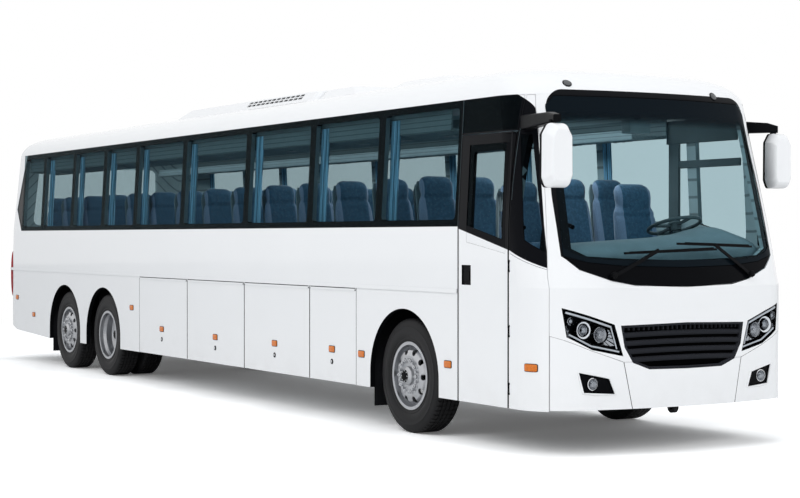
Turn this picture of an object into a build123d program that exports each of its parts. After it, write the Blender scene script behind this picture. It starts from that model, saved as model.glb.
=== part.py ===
from build123d import *
import math
import os

os.makedirs("parts", exist_ok=True)

# A three-axle touring coach, 13.6 m long, with the door on its right side.
# Millimetres. +X is the front, +Y the coach's left, +Z up, ground at z = 0.

# ---------------------------------------------------------------- body shell
HALF_WIDTH = 1300.0
FRONT_X = 6600.0
REAR_X = -7000.0
FRONT_BOW = 4200.0          # plan radius of the front face
REAR_BOW = 9000.0           # plan radius of the rear face
WALL = 50.0
SKIRT_Z = 363.0
RAKE_Z = 1330.0             # the front face leans back from here up
WINDOW_Z = 1820.0           # lower edge of the window band
ROOF_Z = 2880.0             # roof joint, upper edge of the window band
CROWN_Z = 3170.0
TUMBLEHOME = 60.0           # lean of each side over the window band
RAKE = 400.0                # lean of the front face up to the roof joint
REAR_LEAN = 200.0
JOINT_GAP = 3.0             # seam between fixed panels
SEAM_DEPTH = 12.0           # the seam is a groove this deep; below it the panels meet
SEAT_GAP = 0.3              # working gap between pieces that rest on each other

# ---------------------------------------------------------------- windows
PANE = 6.0                  # glass thickness
PANE_SEAM = 8.0             # black seam between two panes
PANE_BORDER = 55.0          # part of each pane that lies on the frame
PANE_SEAMS = [REAR_X + 662.0, -5472.0, -4292.0, -3162.0, -2078.0, -656.0, 1020.0, 2480.0, 3834.0, 5194.0]
SCREEN = 7.0                # windscreen thickness

# ---------------------------------------------------------------- wheels
TYRE_R = 506.0
TYRE_W = 276.0
RIM_R = 286.0               # bead seat radius
TYRE_FACE = HALF_WIDTH - 50.0   # outer face of every outer tyre
FRONT_AXLE = 4300.0
DRIVE_AXLE = -3120.0
TAG_AXLE = -4540.0
TWIN_PITCH = 322.0          # distance between the two tyres of a twin wheel
ARCH_GAP = 89.0             # opening round a tyre
ARCH_R = TYRE_R + ARCH_GAP
KINGPIN_Y = TYRE_FACE - 220.0
HUB_BORE = 60.0

# ---------------------------------------------------------------- floors
FLOOR_Z = 1230.0            # top of the passenger floor
FLOOR_T = 30.0
CAB_Z = 1000.0              # top of the driver's platform
BAY_Z = 420.0               # top of the luggage floor
PLATE = 5.0

# ---------------------------------------------------------------- doors
BELT_Z = 1262.0             # lower edge of the belt moulding
BELT_H = 36.0
DOOR_GAP = 7.0
LEAF = 26.0                 # luggage door thickness
BAY_SEAMS = [-1903.0, -473.0, 1021.0, 2506.0, 3445.0]
DOOR_REAR = 5194.0
DOOR_FRONT = 5959.0
DOOR_TOP = 2580.0
ENTRY_LEAF = 36.0

Z_LOW = 300.0


def box(x0, x1, y0, y1, z0, z1):
    """Axis-aligned block between two corners."""
    return Pos((x0 + x1) / 2, (y0 + y1) / 2, (z0 + z1) / 2) * Box(x1 - x0, y1 - y0, z1 - z0)


def rod(axis, centre, radius, length):
    """Cylinder of a given length along X, Y or Z, centred on a point."""
    turn = {"X": (0, 90, 0), "Y": (90, 0, 0), "Z": (0, 0, 0)}[axis]
    return Pos(*centre) * Rot(*turn) * Cylinder(radius, length)


def prism_x(points, x0, x1):
    """Outline of (y, z) points carried along X."""
    outline = make_face(Polyline(*[(x0, y, z) for y, z in points], close=True))
    return extrude(outline, amount=x1 - x0, dir=(1, 0, 0))


def prism_y(points, y0, y1):
    """Outline of (x, z) points carried along Y."""
    outline = make_face(Polyline(*[(x, y0, z) for x, z in points], close=True))
    return extrude(outline, amount=y1 - y0, dir=(0, 1, 0))


def soft_prism_x(points, radius, x0, x1):
    """Outline of (y, z) points with rounded corners, carried along X."""
    outline = make_face(FilletPolyline(*[(x0, y, z) for y, z in points], radius=radius, close=True))
    return extrude(outline, amount=x1 - x0, dir=(1, 0, 0))


def soft_prism_y(points, radius, y0, y1):
    """Outline of (x, z) points with rounded corners, carried along Y."""
    outline = make_face(FilletPolyline(*[(x, y0, z) for x, z in points], radius=radius, close=True))
    return extrude(outline, amount=y1 - y0, dir=(0, 1, 0))


def other_side(shape):
    """The same piece on the coach's other side."""
    return mirror(shape, about=Plane.XZ)


def both_sides(shape):
    return [shape, other_side(shape)]


def save(name, *shapes):
    """Write every solid of the shapes given as one named sub-part."""
    solids = []
    for shape in shapes:
        group = shape if isinstance(shape, list) else [shape]
        for one in group:
            solids.extend(one.solids())
    out = solids[0] if len(solids) == 1 else Compound(solids)
    export_step(out, "parts/" + name + ".step")


# ================================================================ body shell
# z, half width, front, rear, front corner radius, rear corner radius
STATIONS = {
    "sill": (Z_LOW, HALF_WIDTH, FRONT_X, REAR_X, 400.0, 250.0),
    "rake": (RAKE_Z, HALF_WIDTH, FRONT_X, REAR_X, 400.0, 250.0),
    "waist": (WINDOW_Z, HALF_WIDTH, FRONT_X - RAKE * (WINDOW_Z - RAKE_Z) / (ROOF_Z - RAKE_Z),
              REAR_X + 30.0, 400.0, 250.0),
    "roof": (ROOF_Z, HALF_WIDTH - TUMBLEHOME, FRONT_X - RAKE, REAR_X + REAR_LEAN, 400.0, 250.0),
    "cove": (ROOF_Z + 110.0, HALF_WIDTH - 110.0, FRONT_X - 480.0, REAR_X + 255.0, 400.0, 270.0),
    "shoulder": (ROOF_Z + 190.0, HALF_WIDTH - 210.0, FRONT_X - 630.0, REAR_X + 360.0, 400.0, 290.0),
    "deck": (ROOF_Z + 250.0, HALF_WIDTH - 420.0, FRONT_X - 960.0, REAR_X + 560.0, 400.0, 300.0),
    "crown": (CROWN_Z, HALF_WIDTH - 850.0, FRONT_X - 1600.0, REAR_X + 1000.0, 300.0, 300.0),
}


def plan(name, inset, drop=0.0):
    """Plan section of the body at a station: bowed ends, round corners, straight sides."""
    z, half, front, rear, r_front, r_rear = STATIONS[name]
    half, front, rear = half - inset, front - inset, rear + inset
    r_front, r_rear = r_front - inset, r_rear - inset
    edges = []
    corners = []
    for end, tip, bow, r in ((1, front, FRONT_BOW - inset, r_front), (-1, rear, REAR_BOW - inset, r_rear)):
        bow_x = tip - end * bow
        reach = math.sqrt((bow - r) ** 2 - (half - r) ** 2)
        cx = bow_x + end * reach
        lean = math.atan2(half - r, reach)
        tangent = (bow_x + end * bow * math.cos(lean), bow * math.sin(lean))
        middle = (math.pi / 2 + lean) / 2
        mid = (cx + end * r * math.cos(middle), half - r + r * math.sin(middle))
        corners.append((cx, tangent, mid, tip))
    (fx, ft, fm, ftip), (rx, rt, rm, rtip) = corners
    z = z - drop

    def p(x, y):
        return Vector(x, y, z)

    edges.append(Edge.make_line(p(rx, -half), p(fx, -half)))
    edges.append(Edge.make_three_point_arc(p(fx, -half), p(fm[0], -fm[1]), p(ft[0], -ft[1])))
    edges.append(Edge.make_three_point_arc(p(ft[0], -ft[1]), p(ftip, 0), p(ft[0], ft[1])))
    edges.append(Edge.make_three_point_arc(p(ft[0], ft[1]), p(fm[0], fm[1]), p(fx, half)))
    edges.append(Edge.make_line(p(fx, half), p(rx, half)))
    edges.append(Edge.make_three_point_arc(p(rx, half), p(rm[0], rm[1]), p(rt[0], rt[1])))
    edges.append(Edge.make_three_point_arc(p(rt[0], rt[1]), p(rtip, 0), p(rt[0], -rt[1])))
    edges.append(Edge.make_three_point_arc(p(rt[0], -rt[1]), p(rm[0], -rm[1]), p(rx, -half)))
    return Face(Wire(edges))


LOWER = {}


def lower_body(inset):
    """Body below the roof joint, shrunk by an inset on every side."""
    if inset not in LOWER:
        names = ["sill", "rake", "waist", "roof"]
        LOWER[inset] = loft([plan(n, inset) for n in names], ruled=True)
    return LOWER[inset]


def layer(outer, inner):
    """Skin of the lower body between two insets."""
    return lower_body(outer) - lower_body(inner)


def upper_body(inset):
    """Roof cap, shrunk by an inset on every side and from above."""
    names = ["roof", "cove", "shoulder", "deck", "crown"]
    return loft([plan(n, inset, drop=inset) for n in names])


SIDE_FAR = HALF_WIDTH + 200.0
BAND = (PANE_SEAMS[0], PANE_SEAMS[-1])


# ---------------------------------------------------------------- cutters
# front view outlines, (y, z) on the coach's left half, drawn for this half width and fitted to the coach
DRAWN_HALF = 1300.0


def across(points):
    """Front view outline spread with the width of the coach."""
    return [(y * HALF_WIDTH / DRAWN_HALF, z) for y, z in points]


NOSE_Y = HALF_WIDTH - 110.0
NOSE_EDGE = [(NOSE_Y, Z_LOW - 50), (NOSE_Y, 1415.0), (NOSE_Y - 78.0, 2240.0), (NOSE_Y - 94.0, 2760.0),
             (NOSE_Y - 115.0, ROOF_Z + 60)]
LAMP = across([(1118.0, 1177.0), (900.0, 1112.0), (689.0, 1041.0), (612.0, 790.0), (880.0, 845.0),
               (1084.0, 948.0)])
GRILLE = across([(0.0, 1046.0), (632.0, 1032.0), (600.0, 860.0), (524.0, 736.0), (371.0, 680.0), (0.0, 676.0)])
FOG = across([(990.0, 668.0), (737.0, 615.0), (688.0, 495.0), (948.0, 511.0)])
BUMPER_SEAM = across([(520.0, 330.0), (606.0, 745.0)])
BUMPER_TOP = across([(1190.0, 956.0), (1100.0, 925.0), (880.0, 838.0), (606.0, 745.0)])
BUMPER_FOOT = 372.0


def whole(half):
    """Outline on both halves of the front from the points of one half."""
    return half + [(-y, z) for y, z in reversed(half) if y > 0]


def grown(points, by):
    """Outline moved outward from its centre by a few millimetres on each point."""
    cy = sum(y for y, _ in points) / len(points)
    cz = sum(z for _, z in points) / len(points)
    out = []
    for y, z in points:
        away = math.hypot(y - cy, z - cz)
        out.append((y + by * (y - cy) / away, z + by * (z - cz) / away))
    return out


NOSE_BACK = FRONT_X - 900.0
NOSE_FRONT = FRONT_X + 300.0


def nose_zone(gap):
    """Everything ahead of the corner seams, less a gap."""
    points = [(y - gap, z) for y, z in NOSE_EDGE]
    return prism_x(points + [(-y, z) for y, z in reversed(points)], NOSE_BACK, NOSE_FRONT)


def pane_outline(x0, x1, inset):
    low = WINDOW_Z + PANE_SEAM / 2 + inset
    high = ROOF_Z - PANE_SEAM / 2 - inset
    return [(x0 + inset, low), (x1 - inset, low), (x1 - inset, high), (x0 + inset, high)]


def side_outlines(inset):
    """Outlines (x, z) of the nine panes between the seams."""
    half = PANE_SEAM / 2
    out = []
    for a, b in zip(PANE_SEAMS[:-1], PANE_SEAMS[1:]):
        out.append(pane_outline(a + half, b - half, inset))
    return out


BAND_REAR = [(PANE_SEAMS[0] - 6.0, WINDOW_Z), (REAR_X + 425.0, 2125.0), (REAR_X + 738.0, ROOF_Z + 1)]
QUARTER = [(5975.0, 1600.0), (6600.0, 1380.0), (6600.0, 2700.0), (6260.0, 2876.0), (5975.0, 2876.0)]
TRANSOM = [(DOOR_REAR + 4, 2596.0), (DOOR_FRONT + 8, 2596.0), (DOOR_FRONT + 8, 2876.0), (DOOR_REAR + 4, 2876.0)]
CAB_PANE = [(DOOR_REAR + 4, 1783.0), (DOOR_FRONT + 8, 1604.0), (DOOR_FRONT + 8, 2876.0), (DOOR_REAR + 4, 2876.0)]
DOOR_PANE = [(5330.0, 1690.0), (5905.0, 1600.0), (5905.0, 2495.0), (5330.0, 2495.0)]


def arch_cutter(x, y0, y1, radius=ARCH_R):
    """Wheel opening: half round over the axle, straight down to the ground."""
    arch = rod("Y", (x, (y0 + y1) / 2, TYRE_R), radius, y1 - y0)
    return arch + box(x - radius, x + radius, y0, y1, 0, TYRE_R)


# what lies below the sill line, which rises behind the rear wheels
SKIRT = [(REAR_X - 100.0, 100.0), (FRONT_X + 400.0, 100.0), (FRONT_X + 400.0, SKIRT_Z), (REAR_X + 1900.0, SKIRT_Z),
         (REAR_X + 460.0, 420.0), (REAR_X + 70.0, 540.0), (REAR_X - 100.0, 640.0)]
REAR_SEAM = REAR_X + 300.0


def side_wall(right):
    """One side of the body with its doors, bays, arches and windows cut."""
    s = -1 if right else 1
    y0, y1 = sorted((s * 600.0, s * SIDE_FAR))
    wall = layer(0, WALL) & box(REAR_SEAM, FRONT_X, y0, y1, Z_LOW, ROOF_Z - SEAT_GAP)
    wall -= nose_zone(-SEAT_GAP)
    wall -= nose_zone(-JOINT_GAP) - lower_body(SEAM_DEPTH)
    wall -= prism_y(SKIRT, y0, y1)
    for outline in side_outlines(PANE_BORDER):
        wall -= soft_prism_y(outline, 40.0, y0, y1)
    wall -= soft_prism_y(QUARTER_VIEW, 30.0, y0, y1)
    for x in (FRONT_AXLE, DRIVE_AXLE, TAG_AXLE):
        wall -= arch_cutter(x, y0, y1)
    for a, b in BAYS:
        wall -= box(a - DOOR_GAP, b + DOOR_GAP, y0, y1, Z_LOW, BELT_Z)
    if right:
        wall -= box(DOOR_REAR, DOOR_FRONT + 4.0, y0, y1, Z_LOW, DOOR_TOP + DOOR_GAP)
        for z in ENTRY_HINGES_Z:
            wall -= rod("Z", (*ENTRY_HINGE, z), KNUCKLE_R + 6.0, 2 * ENTRY_KNUCKLE + 12.0)
    else:
        wall -= soft_prism_y(CAB_VIEW, 30.0, y0, y1)
    core = lower_body(PANE + SEAT_GAP)
    band = box(BAND[0] - 6.0, BAND[1] - PANE_SEAM / 2, y0, y1, WINDOW_Z, ROOF_Z + 10)
    wall -= band - core
    wall -= prism_y(BAND_REAR, y0, y1) - core
    wall -= prism_y(QUARTER, y0, y1) - core
    wall -= prism_y(TRANSOM if right else CAB_PANE, y0, y1) - core
    for a, b in BAYS:
        wall += bay_hinge_ears(a, b, s)
    if right:
        for ear in entry_hinge_ears():
            wall += ear
    wall += belt_moulding(s, REAR_SEAM, DOOR_REAR)
    return wall


def belt_moulding(s, x0, x1):
    y0, y1 = sorted((s * (HALF_WIDTH - 12.0), s * (HALF_WIDTH + 12.0)))
    return box(x0, x1, y0, y1, BELT_Z, BELT_Z + BELT_H)


# ---------------------------------------------------------------- luggage bays
# Each bay door stops a door gap short of its seams; its hinge lies under the belt.
BAYS = [(a + DOOR_GAP, b - DOOR_GAP) for a, b in zip(BAY_SEAMS[:-1], BAY_SEAMS[1:])]
HINGE_R = 3.0
KNUCKLE_R = 6.5
HINGE_Z = BELT_Z - 14.0
HINGE_Y = HALF_WIDTH - 2.0
EAR = 14.0
PIN_FIT = 0.3


def bay_hinge_ears(a, b, s):
    """Ears below the belt rail that carry the hinge pin of one bay door."""
    y = s * HINGE_Y
    pin = rod("X", ((a + b) / 2, y, HINGE_Z), HINGE_R, b - a)
    out = pin
    for x in (a, b - EAR):
        ear = box(x, x + EAR, y - KNUCKLE_R, y + KNUCKLE_R, HINGE_Z, BELT_Z + 5.0)
        out += ear + rod("X", (x + EAR / 2, y, HINGE_Z), KNUCKLE_R, EAR)
    return out


def bay_door(a, b, s):
    """Top-hinged bay door: a flush leaf, a stiffening frame and a rolled hinge edge."""
    y0, y1 = sorted((s * 600.0, s * SIDE_FAR))
    top = HINGE_Z
    leaf = layer(0, LEAF) & box(a + 1.0, b - 1.0, y0, y1, SKIRT_Z + 2.0, top)
    hollow = layer(5.0, LEAF + 10.0) & box(a + 60.0, b - 60.0, y0, y1, SKIRT_Z + 60.0, top - 60.0)
    leaf -= hollow
    rib = layer(4.0, LEAF) & box((a + b) / 2 - 25, (a + b) / 2 + 25, y0, y1, SKIRT_Z + 30.0, top - 30.0)
    leaf += rib
    y = s * HINGE_Y
    leaf -= rod("X", ((a + b) / 2, y, HINGE_Z), KNUCKLE_R + 5.5, b - a + 10)
    x0 = a + EAR + 6.0
    x1 = b - EAR - 6.0
    leaf += box(x0, x1, y - KNUCKLE_R, y + KNUCKLE_R, HINGE_Z - 16.0, HINGE_Z)
    leaf += rod("X", ((x0 + x1) / 2, y, HINGE_Z), KNUCKLE_R, x1 - x0)
    leaf -= rod("X", ((a + b) / 2, y, HINGE_Z), HINGE_R + PIN_FIT, b - a + 10)
    return leaf


# ---------------------------------------------------------------- entry door
ENTRY_HINGE = (DOOR_FRONT, -HALF_WIDTH - 3.0)
ENTRY_HINGES_Z = [520.0, 980.0, 1500.0]
ENTRY_KNUCKLE = 26.0


def entry_door():
    """Single leaf hinged at its front edge, with a large pane and a handle recess."""
    x0 = DOOR_REAR + DOOR_GAP
    x1 = DOOR_FRONT - 4.0
    leaf = layer(0, ENTRY_LEAF) & box(x0, x1, -SIDE_FAR, -600, Z_LOW, DOOR_TOP)
    leaf -= prism_y(SKIRT, -SIDE_FAR, -600)
    leaf -= soft_prism_y(door_view(60.0), 30.0, -SIDE_FAR, -600)
    leaf -= prism_y(door_view(0.0), -SIDE_FAR, -600) - lower_body(PANE + SEAT_GAP)
    recess = box(DOOR_REAR + 65.0, DOOR_REAR + 205.0, -HALF_WIDTH - 5, -HALF_WIDTH + 24, 1335.0, 1500.0)
    leaf -= recess
    hx, hy = ENTRY_HINGE
    for z in ENTRY_HINGES_Z:
        leaf -= rod("Z", (hx, hy, z), KNUCKLE_R + 6.0, 4 * ENTRY_KNUCKLE)
        leaf += box(hx - 24.0, hx, hy, hy + 8.0, z - ENTRY_KNUCKLE, z + ENTRY_KNUCKLE)
        leaf += rod("Z", (hx, hy, z), KNUCKLE_R, 2 * ENTRY_KNUCKLE)
        leaf -= rod("Z", (hx, hy, z), HINGE_R + PIN_FIT, 4 * ENTRY_KNUCKLE)
    return leaf


def entry_hinge_ears():
    """Pins and ears on the door post."""
    hx, hy = ENTRY_HINGE
    out = []
    for z in ENTRY_HINGES_Z:
        one = rod("Z", (hx, hy, z), HINGE_R, 2 * ENTRY_KNUCKLE + 40.0)
        for end in (-1, 1):
            zc = z + end * (ENTRY_KNUCKLE + 14.0)
            one += rod("Z", (hx, hy, zc), KNUCKLE_R, 16.0)
            one += box(hx, hx + 22.0, hy, hy + 20.0, zc - 8.0, zc + 8.0)
        out.append(one)
    return out


def door_view(inset):
    """Outline (x, z) of the pane in the entry door."""
    (xa, za), (xb, zb), _, (_, zt) = DOOR_PANE
    return [(xa + inset, za + inset), (xb - inset, zb + inset), (xb - inset, zt - inset), (xa + inset, zt - inset)]


QUARTER_VIEW = [(6040.0, 1660.0), (6260.0, 1570.0), (6200.0, 2700.0), (6040.0, 2780.0)]
CAB_VIEW = [(5260.0, 1850.0), (5890.0, 1700.0), (5890.0, 2780.0), (5260.0, 2780.0)]


# ---------------------------------------------------------------- glass
def side_glass(s):
    """All fixed panes of one side."""
    y0, y1 = sorted((s * 600.0, s * SIDE_FAR))
    sheet = layer(0, PANE) & box(REAR_SEAM, FRONT_X, y0, y1, 1300.0, ROOF_Z - 2.0)
    sheet -= nose_zone(-JOINT_GAP - 1.0)
    out = []
    for outline in side_outlines(0.0):
        out.append(sheet & prism_y(outline, y0, y1))
    out.append(sheet & prism_y([(BAND_REAR[0][0] + 2.0, WINDOW_Z + 6.0), (REAR_X + 434.0, 2125.0),
                                (REAR_X + 738.0, ROOF_Z - 4.0), (BAND_REAR[0][0] + 2.0, ROOF_Z - 4.0)], y0, y1))
    front = [(5979.0, 1602.0), (6600.0, 1384.0), (6600.0, 2690.0), (6258.0, 2872.0), (5979.0, 2872.0)]
    out.append(sheet & prism_y(front, y0, y1))
    if s < 0:
        out.append(sheet & box(DOOR_REAR + 8.0, DOOR_FRONT + 4.0, y0, y1, 2600.0, 2872.0))
    else:
        cab = [(DOOR_REAR + 8, 1786.0), (DOOR_FRONT + 4, 1609.0), (DOOR_FRONT + 4, 2872.0), (DOOR_REAR + 8, 2872.0)]
        out.append(sheet & prism_y(cab, y0, y1))
    return out


# ---------------------------------------------------------------- front and rear
def screen_outline(grow):
    """Front view of the windscreen and cowl together."""
    half = [(0.0, 2872.0 + grow), (960.0 + grow, 2868.0 + grow), (1032.0 + grow, 2790.0),
            (1052.0 + grow, 2100.0), (1078.0 + grow, 1575.0), (960.0 + grow, 1474.0 - grow),
            (700.0, 1386.0 - grow), (500.0, 1349.0 - grow), (0.0, 1333.0 - grow)]
    return whole(across(half))


def screen_glass():
    half = [(0.0, 2868.0), (958.0, 2864.0), (1028.0, 2788.0), (1048.0, 2100.0), (1072.0, 1582.0),
            (880.0, 1533.0), (560.0, 1503.0), (0.0, 1491.0)]
    zone = prism_x(whole(across(half)), NOSE_BACK, NOSE_FRONT)
    return layer(0, SCREEN) & zone


COWL_T = 24.0


def cowl_panel():
    """Dark panel that fills the foot of the windscreen opening."""
    half = [(0.0, 1486.0), (560.0, 1498.0), (880.0, 1528.0), (1070.0, 1577.0), (958.0, 1477.0),
            (700.0, 1389.0), (500.0, 1352.0), (0.0, 1336.0)]
    return layer(0, COWL_T) & prism_x(whole(across(half)), NOSE_BACK, NOSE_FRONT)


def front_mask():
    """Front panel round the windscreen, grille and headlamps."""
    zone = nose_zone(0) & box(NOSE_BACK, NOSE_FRONT, -SIDE_FAR, SIDE_FAR, Z_LOW, ROOF_Z - SEAT_GAP)
    mask = layer(0, WALL) & zone
    mask -= prism_x(whole(BUMPER_TOP) + [(-HALF_WIDTH, 956.0), (-HALF_WIDTH, 0.0), (HALF_WIDTH, 0.0), (HALF_WIDTH, 956.0)],
                    NOSE_BACK, NOSE_FRONT)
    mask -= prism_x(whole(grown_half(GRILLE, 0.6)), NOSE_BACK, NOSE_FRONT)
    mask -= lamp_cutters(LAMP, 0.8)
    view = [(0.0, 2800.0), (940.0, 2790.0), (965.0, 2740.0), (985.0, 2100.0), (1000.0, 1640.0), (880.0, 1580.0),
            (560.0, 1560.0), (0.0, 1545.0)]
    mask -= prism_x(whole(across(view)), NOSE_BACK, NOSE_FRONT)
    mask -= prism_x(screen_outline(JOINT_GAP), NOSE_BACK, NOSE_FRONT) - lower_body(SCREEN + SEAT_GAP)
    foot = [(0.0, 1489.0), (560.0, 1501.0), (880.0, 1531.0), (1082.0, 1582.0), (960.0, 1470.0),
            (700.0, 1382.0), (500.0, 1345.0), (0.0, 1330.0)]
    mask -= prism_x(whole(across(foot)), NOSE_BACK, NOSE_FRONT) - lower_body(COWL_T + SEAT_GAP)
    return mask


def grown_half(points, by):
    """Front view outline of one half moved out by a few millimetres."""
    return [(y + (by if y > 0 else 0.0), z + (by if z > 870 else -by)) for y, z in points]


def lamp_cutters(points, by):
    one = prism_x(grown(points, by), NOSE_BACK, NOSE_FRONT)
    return one + other_side(one)


def bumper(part):
    """Front bumper: a centre section and two corner sections, grooved at their seams."""
    shell = layer(0, WALL) & box(NOSE_BACK, NOSE_FRONT, -SIDE_FAR, SIDE_FAR, BUMPER_FOOT, 1100.0)
    core = lower_body(SEAM_DEPTH)
    hole = whole(grown_half(GRILLE, 0.6))
    if part == "centre":
        out = shell & prism_x(whole(centre_outline(SEAT_GAP)), NOSE_BACK, NOSE_FRONT)
        rim = prism_x(whole(centre_outline(0.0)), NOSE_BACK, NOSE_FRONT)
        out -= (rim - prism_x(whole(centre_outline(JOINT_GAP)), NOSE_BACK - 10, NOSE_FRONT + 10)) - core
        return out - prism_x(hole, NOSE_BACK, NOSE_FRONT)
    out = shell & prism_x(corner_outline(SEAT_GAP), NOSE_BACK, NOSE_FRONT)
    rim = prism_x(corner_outline(0.0), NOSE_BACK, NOSE_FRONT)
    out -= (rim - prism_x(corner_outline(JOINT_GAP), NOSE_BACK - 10, NOSE_FRONT + 10)) - core
    out -= prism_x(grown(LAMP, 0.8), NOSE_BACK, NOSE_FRONT)
    out -= prism_x(grown(FOG, 0.8), NOSE_BACK, NOSE_FRONT)
    out -= prism_x(hole, NOSE_BACK, NOSE_FRONT)
    return [out, other_side(out)]


def centre_outline(gap):
    """Half front view of the bumper centre, drawn in by a gap at its side seam."""
    (y0, z0), (y1, z1) = BUMPER_SEAM
    return [(0.0, 700.0), (500.0, 745.0 - gap), (y1 - gap, z1 - gap), (y0 - gap, z0), (0.0, z0)]


def corner_outline(gap):
    """Front view of the left bumper corner, drawn in by a gap all round."""
    (y0, z0), (y1, z1) = BUMPER_SEAM
    top = [(y, z - gap) for y, z in reversed(BUMPER_TOP)]
    return [(y0 + gap, z0), (y1 + gap, z1 - gap)] + top[1:-1] + [(NOSE_Y - gap, 956.0 - gap), (NOSE_Y - gap, z0)]


GRILLE_IN = across([(0.0, 1028.0), (606.0, 1014.0), (578.0, 866.0), (508.0, 752.0), (364.0, 700.0), (0.0, 696.0)])
SLATS_Z = [748.0, 814.0, 880.0, 946.0]  # foot of each slat at the middle of the coach
SLAT_H = 40.0
SLAT_BOW = 14.0             # drop of a slat from the middle to its ends
SLAT_DEPTHS = [2.0, 2.0, 4.0, 8.0]
MESH_Z = 992.0              # foot of the open row above the slats
MESH_PITCH = 46.0
MESH_BAR = 7.0


def bowed(z, height, bow):
    """Front view of a bar across the grille that falls gently towards its ends."""
    far = GRILLE[1][0]
    steps = [far * k / 3 for k in range(-3, 4)]
    foot = [(y, z - bow * (y / far) ** 2) for y in steps]
    return foot + [(y, a + height) for y, a in reversed(foot)]


def grille():
    """Black grille: a surround, four bowed slats with a stepped nose and a row of upright bars."""
    zone = prism_x(whole(GRILLE), NOSE_BACK, NOSE_FRONT)
    frame = (layer(6.0, 40.0) & zone) - prism_x(whole(GRILLE_IN), NOSE_BACK, NOSE_FRONT)
    for z, depth in zip(SLATS_Z, SLAT_DEPTHS):
        nose = prism_x(bowed(z + 10.0, SLAT_H - 16.0, SLAT_BOW), NOSE_BACK, NOSE_FRONT)
        root = prism_x(bowed(z, SLAT_H, SLAT_BOW), NOSE_BACK, NOSE_FRONT)
        frame += (layer(depth, 20.0) & nose & zone) + (layer(depth + 9.0, 36.0) & root & zone)
    bars = int(GRILLE_IN[1][0] // MESH_PITCH)
    for k in range(-bars, bars + 1):
        y = k * MESH_PITCH
        frame += layer(12.0, 36.0) & box(NOSE_BACK, NOSE_FRONT, y - MESH_BAR / 2, y + MESH_BAR / 2, MESH_Z, 1030.0) & zone
    return frame + (layer(34.0, 40.0) & zone)


# round lights in each lamp: (y, z) and radius
HEAD_LIGHTS = across([(940.0, 1000.0), (798.0, 962.0), (1046.0, 1072.0)])
HEAD_LIGHT_RS = [46.0, 66.0, 30.0]
FOG_LIGHT = across([(870.0, 576.0)])
FOG_LIGHT_R = 50.0
LIGHT_WALL = 6.0
TRAY_WALL = 9.0
FOG_DEPTH = 60.0


def lamp_unit(points, depth, lights, radii):
    """Lamp housing: an open tray with a tube for each round light."""
    zone = prism_x(points, NOSE_BACK, NOSE_FRONT)
    inner = prism_x(grown(points, -TRAY_WALL), NOSE_BACK, NOSE_FRONT)
    tray = (layer(5.0 + SEAT_GAP, depth) & zone) - (layer(0.0, depth - 8.0) & inner)
    for (y, z), r in zip(lights, radii):
        tube = rod("X", (FRONT_X, y, z), r, 1600.0) - rod("X", (FRONT_X, y, z), r - LIGHT_WALL, 1600.0)
        tray += layer(18.0, depth - 4.0) & tube & zone
    return tray


def lamp_lens(points):
    return layer(1.0, 5.0) & prism_x(points, NOSE_BACK, NOSE_FRONT)


TAIL_Y = HALF_WIDTH - 240.0     # inner edge of each tail lamp
TAIL_LOW = 850.0
TAIL_HIGH = 1560.0
TAIL_T = 30.0
REAR_PANE = [(HALF_WIDTH - 270.0, 1836.0), (HALF_WIDTH - 330.0, 2800.0)]


def rear_outline(inset):
    """Rear view of the back window, drawn in by an inset."""
    (y0, z0), (y1, z1) = REAR_PANE
    y0, z0, y1, z1 = y0 - inset, z0 + inset, y1 - inset, z1 - inset
    return [(-y0, z0), (y0, z0), (y1, z1), (-y1, z1)]


def rear_wall():
    """Rear face with the window opening, the engine door opening and lamp rebates."""
    wall = layer(0, WALL) & box(REAR_X - 50, REAR_SEAM - SEAT_GAP, -SIDE_FAR, SIDE_FAR, REAR_BUMPER_TOP, ROOF_Z - SEAT_GAP)
    wall -= soft_prism_x(rear_outline(70.0), 90.0, REAR_X - 100, REAR_SEAM + 200)
    glass = soft_prism_x(rear_outline(0.0), 120.0, REAR_X - 100, REAR_SEAM + 200)
    wall -= glass - lower_body(PANE + SEAT_GAP)
    wall -= box(REAR_X - 50, REAR_SEAM, -ENGINE_HALF, ENGINE_HALF, 500.0, ENGINE_TOP)
    for s in (-1, 1):
        y = sorted((s * TAIL_Y, s * SIDE_FAR))
        wall -= box(REAR_X - 50, REAR_X + 100.0, y[0], y[1], TAIL_LOW, TAIL_HIGH) - lower_body(TAIL_T)
    for y in ENGINE_HINGES_Y:
        pin = rod("Y", (ENGINE_HINGE_X, y, ENGINE_HINGE_Z), HINGE_R, 140.0)
        for end in (-1, 1):
            yc = y + end * 62.0
            pin += rod("Y", (ENGINE_HINGE_X, yc, ENGINE_HINGE_Z), KNUCKLE_R, 16.0)
            pin += box(ENGINE_HINGE_X - KNUCKLE_R, ENGINE_HINGE_X + KNUCKLE_R + 20.0, yc - 8, yc + 8,
                       ENGINE_HINGE_Z, ENGINE_TOP + 8.0)
        wall += pin
    for s in (-1, 1):
        wall += belt_moulding(s, REAR_X + 200.0, REAR_SEAM - SEAT_GAP)
    return wall


ENGINE_HALF = 830.0
ENGINE_TOP = 1500.0
ENGINE_FOOT = 712.0
REAR_BUMPER_TOP = 700.0
ENGINE_HINGE_Z = ENGINE_TOP - 14.0
ENGINE_HINGE_X = REAR_X + 30.0 * (ENGINE_HINGE_Z - RAKE_Z) / (WINDOW_Z - RAKE_Z) - 1.0
ENGINE_HINGES_Y = [-150.0, 150.0]


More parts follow.
